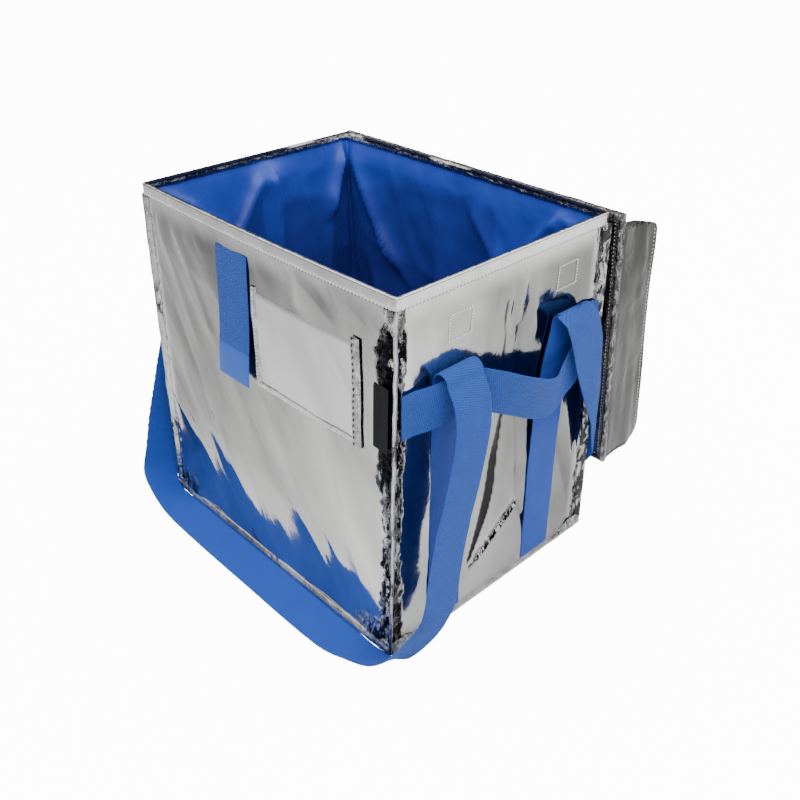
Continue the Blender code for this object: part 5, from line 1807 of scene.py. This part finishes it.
    def build(self) -> None:
        """Build the panel, its edge tape, both wings and the hinge tape."""
        self.build_panel()
        self.build_binding()
        for side in Side:
            self.build_wing(side)
        self.build_hinge_tape()


@dataclass
class Stitching:
    """Rows of thread on the walls, the pocket, the lid and the straps."""

    size: ToteSize
    walls: Walls
    trim: FrontTrim
    lid: Lid
    bench: dict
    down: float = 0.0095
    off: float = 0.0011
    hole: float = 0.00032

    def rim_rows(self) -> None:
        """The row under the rim on each wall, with a painted stitch shadow: a dark dash just below each gap
        between stitches.
        """
        size, level, off = self.size, self.size.height - self.down, self.off
        x = np.linspace(0.006 - size.half_width, size.half_width - 0.006, 60)
        bow = self.walls.rim_bow * 1.03 * (1 - (x / size.half_width) ** 2)
        reach = float(size.half_depth(level)) - 0.006
        y = np.linspace(-reach, reach, 40)
        rows = [(name, stacked(x, face * (size.half_depth(level) + off + bow), level), (0, face, 0),
                 (0.0021, -face * 0.0002, -0.0009)) for name, face in (("front", -1), ("back", 1))]
        rows += [(side.word, stacked(side.value * (size.half_width + off), y, level), (side.value, 0, 0),
                  (-side.value * 0.0002, 0.0021, -0.0009)) for side in Side]
        for name, path, outward, shift in rows:
            dashes("rim_stitches_" + name, path, outward, self.bench["thread"], "tote")
            # Painted stitch shadows: dark dashes set half a stitch along and just below the white row
            dashes("rim_holes_" + name, path + shift, outward, self.bench["dark_dots"], "tote",
                   size=self.hole)

    def squares(self) -> None:
        """The stitched squares where the closures are sewn on inside."""
        for side, half in product(Side, ("front", "back")):
            node = f"closure_square_{side.word}_{half}"
            low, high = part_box(node)
            y0, y1, z0, z1 = low[1] + 0.001, high[1] - 0.001, low[2] + 0.001, high[2] - 0.001
            corners = np.array([(y0, z0), (y1, z0), (y1, z1), (y0, z1), (y0, z0)])
            flat = outline(corners, 9)
            reach = self.size.half_depth(flat[:, 1]) - self.walls.tuck
            wall = self.walls.end_wall(flat[:, 0] / reach, flat[:, 1], side.value)[0]
            path = wall + (side.value * 0.0005, 0, 0)
            made = dashes(f"square_stitches_{side.word}_{half}", path, (side.value, 0, 0),
                          self.bench["thread"], "tote", pitch=0.0030, size=0.00095)
            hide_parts(node)

    def pocket_rows(self) -> None:
        """The rows on the pocket's tapes."""
        low, high, left, right = self.trim.low, self.trim.high, self.trim.left, self.trim.right
        rows = (("left", ((left + 0.0030, low + 0.003), (left + 0.0025, high)), 0.0014),
                ("foot", ((left + 0.004, low + 0.0030), (right - 0.010, low + 0.0030)), 0.0014),
                ("right", ((right - 0.0085, low + 0.003), (right - 0.0092, high + 0.002)), 0.0024))
        for name, ends, out in rows:
            flat = np.linspace(*np.array(ends), 40)
            path = self.trim.on_wall(flat[:, 0], flat[:, 1], out)
            finish = "dark_dots" if name == "right" else "thread"
            dashes("pocket_stitches_" + name, path, (0, -1, 0), self.bench[finish], "tote",
                   pitch=0.0060 if name == "right" else 0.0036, size=0.00065)

    def lid_rows(self) -> None:
        """The rows round the lid's panel and its wings."""
        lid, inset = self.lid, 0.0082
        low, high, half = lid.root + inset, lid.length - inset, lid.half - inset
        corners = np.array([(low, -half), (low, half), (high, half), (high, -half), (low, -half)])
        flat = outline(corners, 60)
        facing = lid.point(0.0, 0.0, 1.0) - lid.point(0.0, 0.0, 0.0)
        for name, out, sign in (("foil", 0.0066, 1), ("liner", 0.0004, -1)):
            dashes("lid_stitches_" + name, lid.point(flat[:, 0], flat[:, 1], out), facing * sign,
                   self.bench["thread"], "lid", size=0.0004)
        for side in Side:
            along = np.linspace(lid.root + 0.022, lid.length - 0.014, 70)
            path = lid.wing_shape(side, along, 1 - 0.0062 / lid.wing_span(along))
            dashes("wing_stitches_" + side.word, path + (side.value * 0.0010, 0, 0), (side.value, 0, 0),
                   self.bench["thread"], "wing_" + side.word, size=0.00045)

    def build(self) -> None:
        """Sew every row."""
        self.rim_rows()
        self.squares()
        self.pocket_rows()
        self.lid_rows()


# Stage


@dataclass
class Studio:
    """Camera, floor and soft light."""

    lens: float = 40.9
    sensor: float = 36.0
    place: tuple[float, float, float] = (0.655, -0.572, 0.684)
    yaw: float = math.radians(-46.7)
    pitch: float = math.radians(31.8)
    roll: float = math.radians(0.12)
    floor_reach: float = 9.0
    room: float = 2.1
    key: float = 42.0
    key_place: tuple[float, float, float] = (1.2, -1.1, 2.7)
    side: float = 10.0
    side_place: tuple[float, float, float] = (0.6, 2.3, 2.2)
    glow: float = 12.0
    wall: float = 6.2

    def build_camera(self) -> None:
        """The camera at the photographed angle."""
        data = bpy.data.cameras.new("camera")
        data.lens = self.lens
        data.sensor_width = self.sensor
        made = bpy.data.objects.new("camera", data)
        level = math.cos(self.pitch)
        forward = Vector((math.sin(self.yaw) * level, math.cos(self.yaw) * level, -math.sin(self.pitch)))
        right = forward.cross(Vector((0, 0, 1))).normalized()
        up = right.cross(forward)
        turned = Matrix.Rotation(self.roll, 3, forward)
        right, up = turned @ right, turned @ up
        made.matrix_world = Matrix((
            (right.x, up.x, -forward.x, self.place[0]), (right.y, up.y, -forward.y, self.place[1]),
            (right.z, up.z, -forward.z, self.place[2]), (0, 0, 0, 1)))
        bpy.context.scene.collection.objects.link(made)
        bpy.context.scene.camera = made

    def build_floor(self) -> None:
        """A wide pale floor."""
        reach = self.floor_reach
        corners = np.array([(-reach, -reach, 0), (reach, -reach, 0), (reach, reach, 0), (-reach, reach, 0)])
        floor = add_mesh("floor", corners, [(0, 1, 2, 3)], [self.floor_finish()], smooth=False)

    def floor_finish(self) -> bpy.types.Material:
        """Matt white board; for light that bounces it is painted darker farther in front, as painted shade
        that the foil reflects, while the camera sees it evenly white and glowing.
        """
        made = bpy.data.materials.new("white_board")
        made.use_nodes = True
        tree = made.node_tree
        shader = tree.nodes["Principled BSDF"]
        shader.inputs["Roughness"].default_value = 0.75
        place = tree.nodes.new("ShaderNodeTexCoord")
        split = tree.nodes.new("ShaderNodeSeparateXYZ")
        wire(tree, place.outputs["Object"], split.inputs[0])
        # Painted shade: farther in front the board's colour falls from 0.9 to 0.4, seen only in reflections
        # and bounced light
        ahead = plus(tree, times(tree, split.outputs["X"], -0.35), times(tree, split.outputs["Y"], -0.94))
        shade = ramp_node(tree, ahead, (0.30, (0.9, 0.9, 0.9)), (0.95, (0.40, 0.40, 0.41)))
        seen = camera_rays(tree)
        wire(tree, mix_node(tree, seen, shade, (0.9, 0.9, 0.9)), shader.inputs["Base Color"])
        shader.inputs["Emission Color"].default_value = (1, 1, 1, 1)
        wire(tree, times(tree, seen, self.glow), shader.inputs["Emission Strength"])
        return made

    def light(self, name: str, place: tuple, aim: tuple, size: float, power: float) -> None:
        """A square soft light."""
        data = bpy.data.lights.new(name, "AREA")
        data.size = size
        data.energy = power
        made = bpy.data.objects.new(name, data)
        made.location = place
        made.rotation_euler = (Vector(aim) - Vector(place)).to_track_quat("-Z", "Y").to_euler()
        bpy.context.scene.collection.objects.link(made)

    def build_room(self) -> None:
        """A room that is dim at eye level and bright overhead."""
        world = bpy.data.worlds.new("room")
        world.use_nodes = True
        tree = world.node_tree
        back = tree.nodes["Background"]
        place = tree.nodes.new("ShaderNodeTexCoord")
        split = tree.nodes.new("ShaderNodeSeparateXYZ")
        wire(tree, place.outputs["Generated"], split.inputs[0])
        shade = ramp_node(tree, split.outputs["Z"], (0.30, (0.02, 0.02, 0.025)), (0.72, (1.0, 1.0, 1.0)))
        wire(tree, mix_node(tree, camera_rays(tree), shade, (self.wall,) * 3), back.inputs["Color"])
        back.inputs["Strength"].default_value = self.room
        bpy.context.scene.world = world

    def build_light(self) -> None:
        """Soft boxes under the room's bright ceiling."""
        self.build_room()
        self.light("key", self.key_place, (0, 0, 0.1), 2.4, self.key)
        self.light("side", self.side_place, (0, 0, 0.2), 1.6, self.side)

    def build(self) -> None:
        """Build the stage."""
        self.build_camera()
        self.build_floor()
        self.build_light()


def make_bench() -> dict:
    """Every finish, by its short name."""
    shop = FinishBench(ShaderGroups())
    label = Webbing("label_tape", (0.0016, 0.0020, 0.0040), 0.75, 0.0008, 0.00006, 0.7)
    tab = Webbing("smooth_tab", (0.031, 0.118, 0.57), 0.42, 0.0009, 0.00003, 0.92)
    # The panel finish is the wing foil, a darker copy of the wall foil with shade painted in
    return {"foil": shop.film(FOIL), "tape": shop.film(TAPE), "hem": shop.film(HEM), "seam": shop.film(SEAM),
            "panel": shop.film(SHADED_WING_FOIL), "lid_top_shaded": shop.film(SHADED_LID_TOP), "lid_tape_shaded": shop.film(SHADED_LID_TAPE),
            "dark_dots": shop.thread("dark_stitch_dots", (0.02, 0.02, 0.025)),
            "window": shop.film(WINDOW), "liner": shop.film(LINER),
            "ribbed": shop.webbing(RIBBED), "plain": shop.webbing(PLAIN), "label": shop.webbing(label),
            "tab": shop.webbing(tab), "thread": shop.thread("white_thread", (0.96, 0.96, 0.95))}


def main() -> None:
    """Build the tote's looks, piece by piece."""
    logging.basicConfig(level=logging.INFO, format="%(message)s")
    size = ToteSize()
    bench = make_bench()
    walls = Walls(size, bench)
    trim = FrontTrim(size, walls, bench)
    lid = Lid(size, walls, bench)
    for name, part in (("studio", Studio()), ("walls", walls), ("edging", Edging(size, walls, bench)),
                       ("front trim", trim), ("straps", Straps(size, bench)), ("lid", lid),
                       ("stitching", Stitching(size, walls, trim, lid, bench))):
        part.build()
        log.info("built %s", name)


if __name__ == "__main__":
    main()
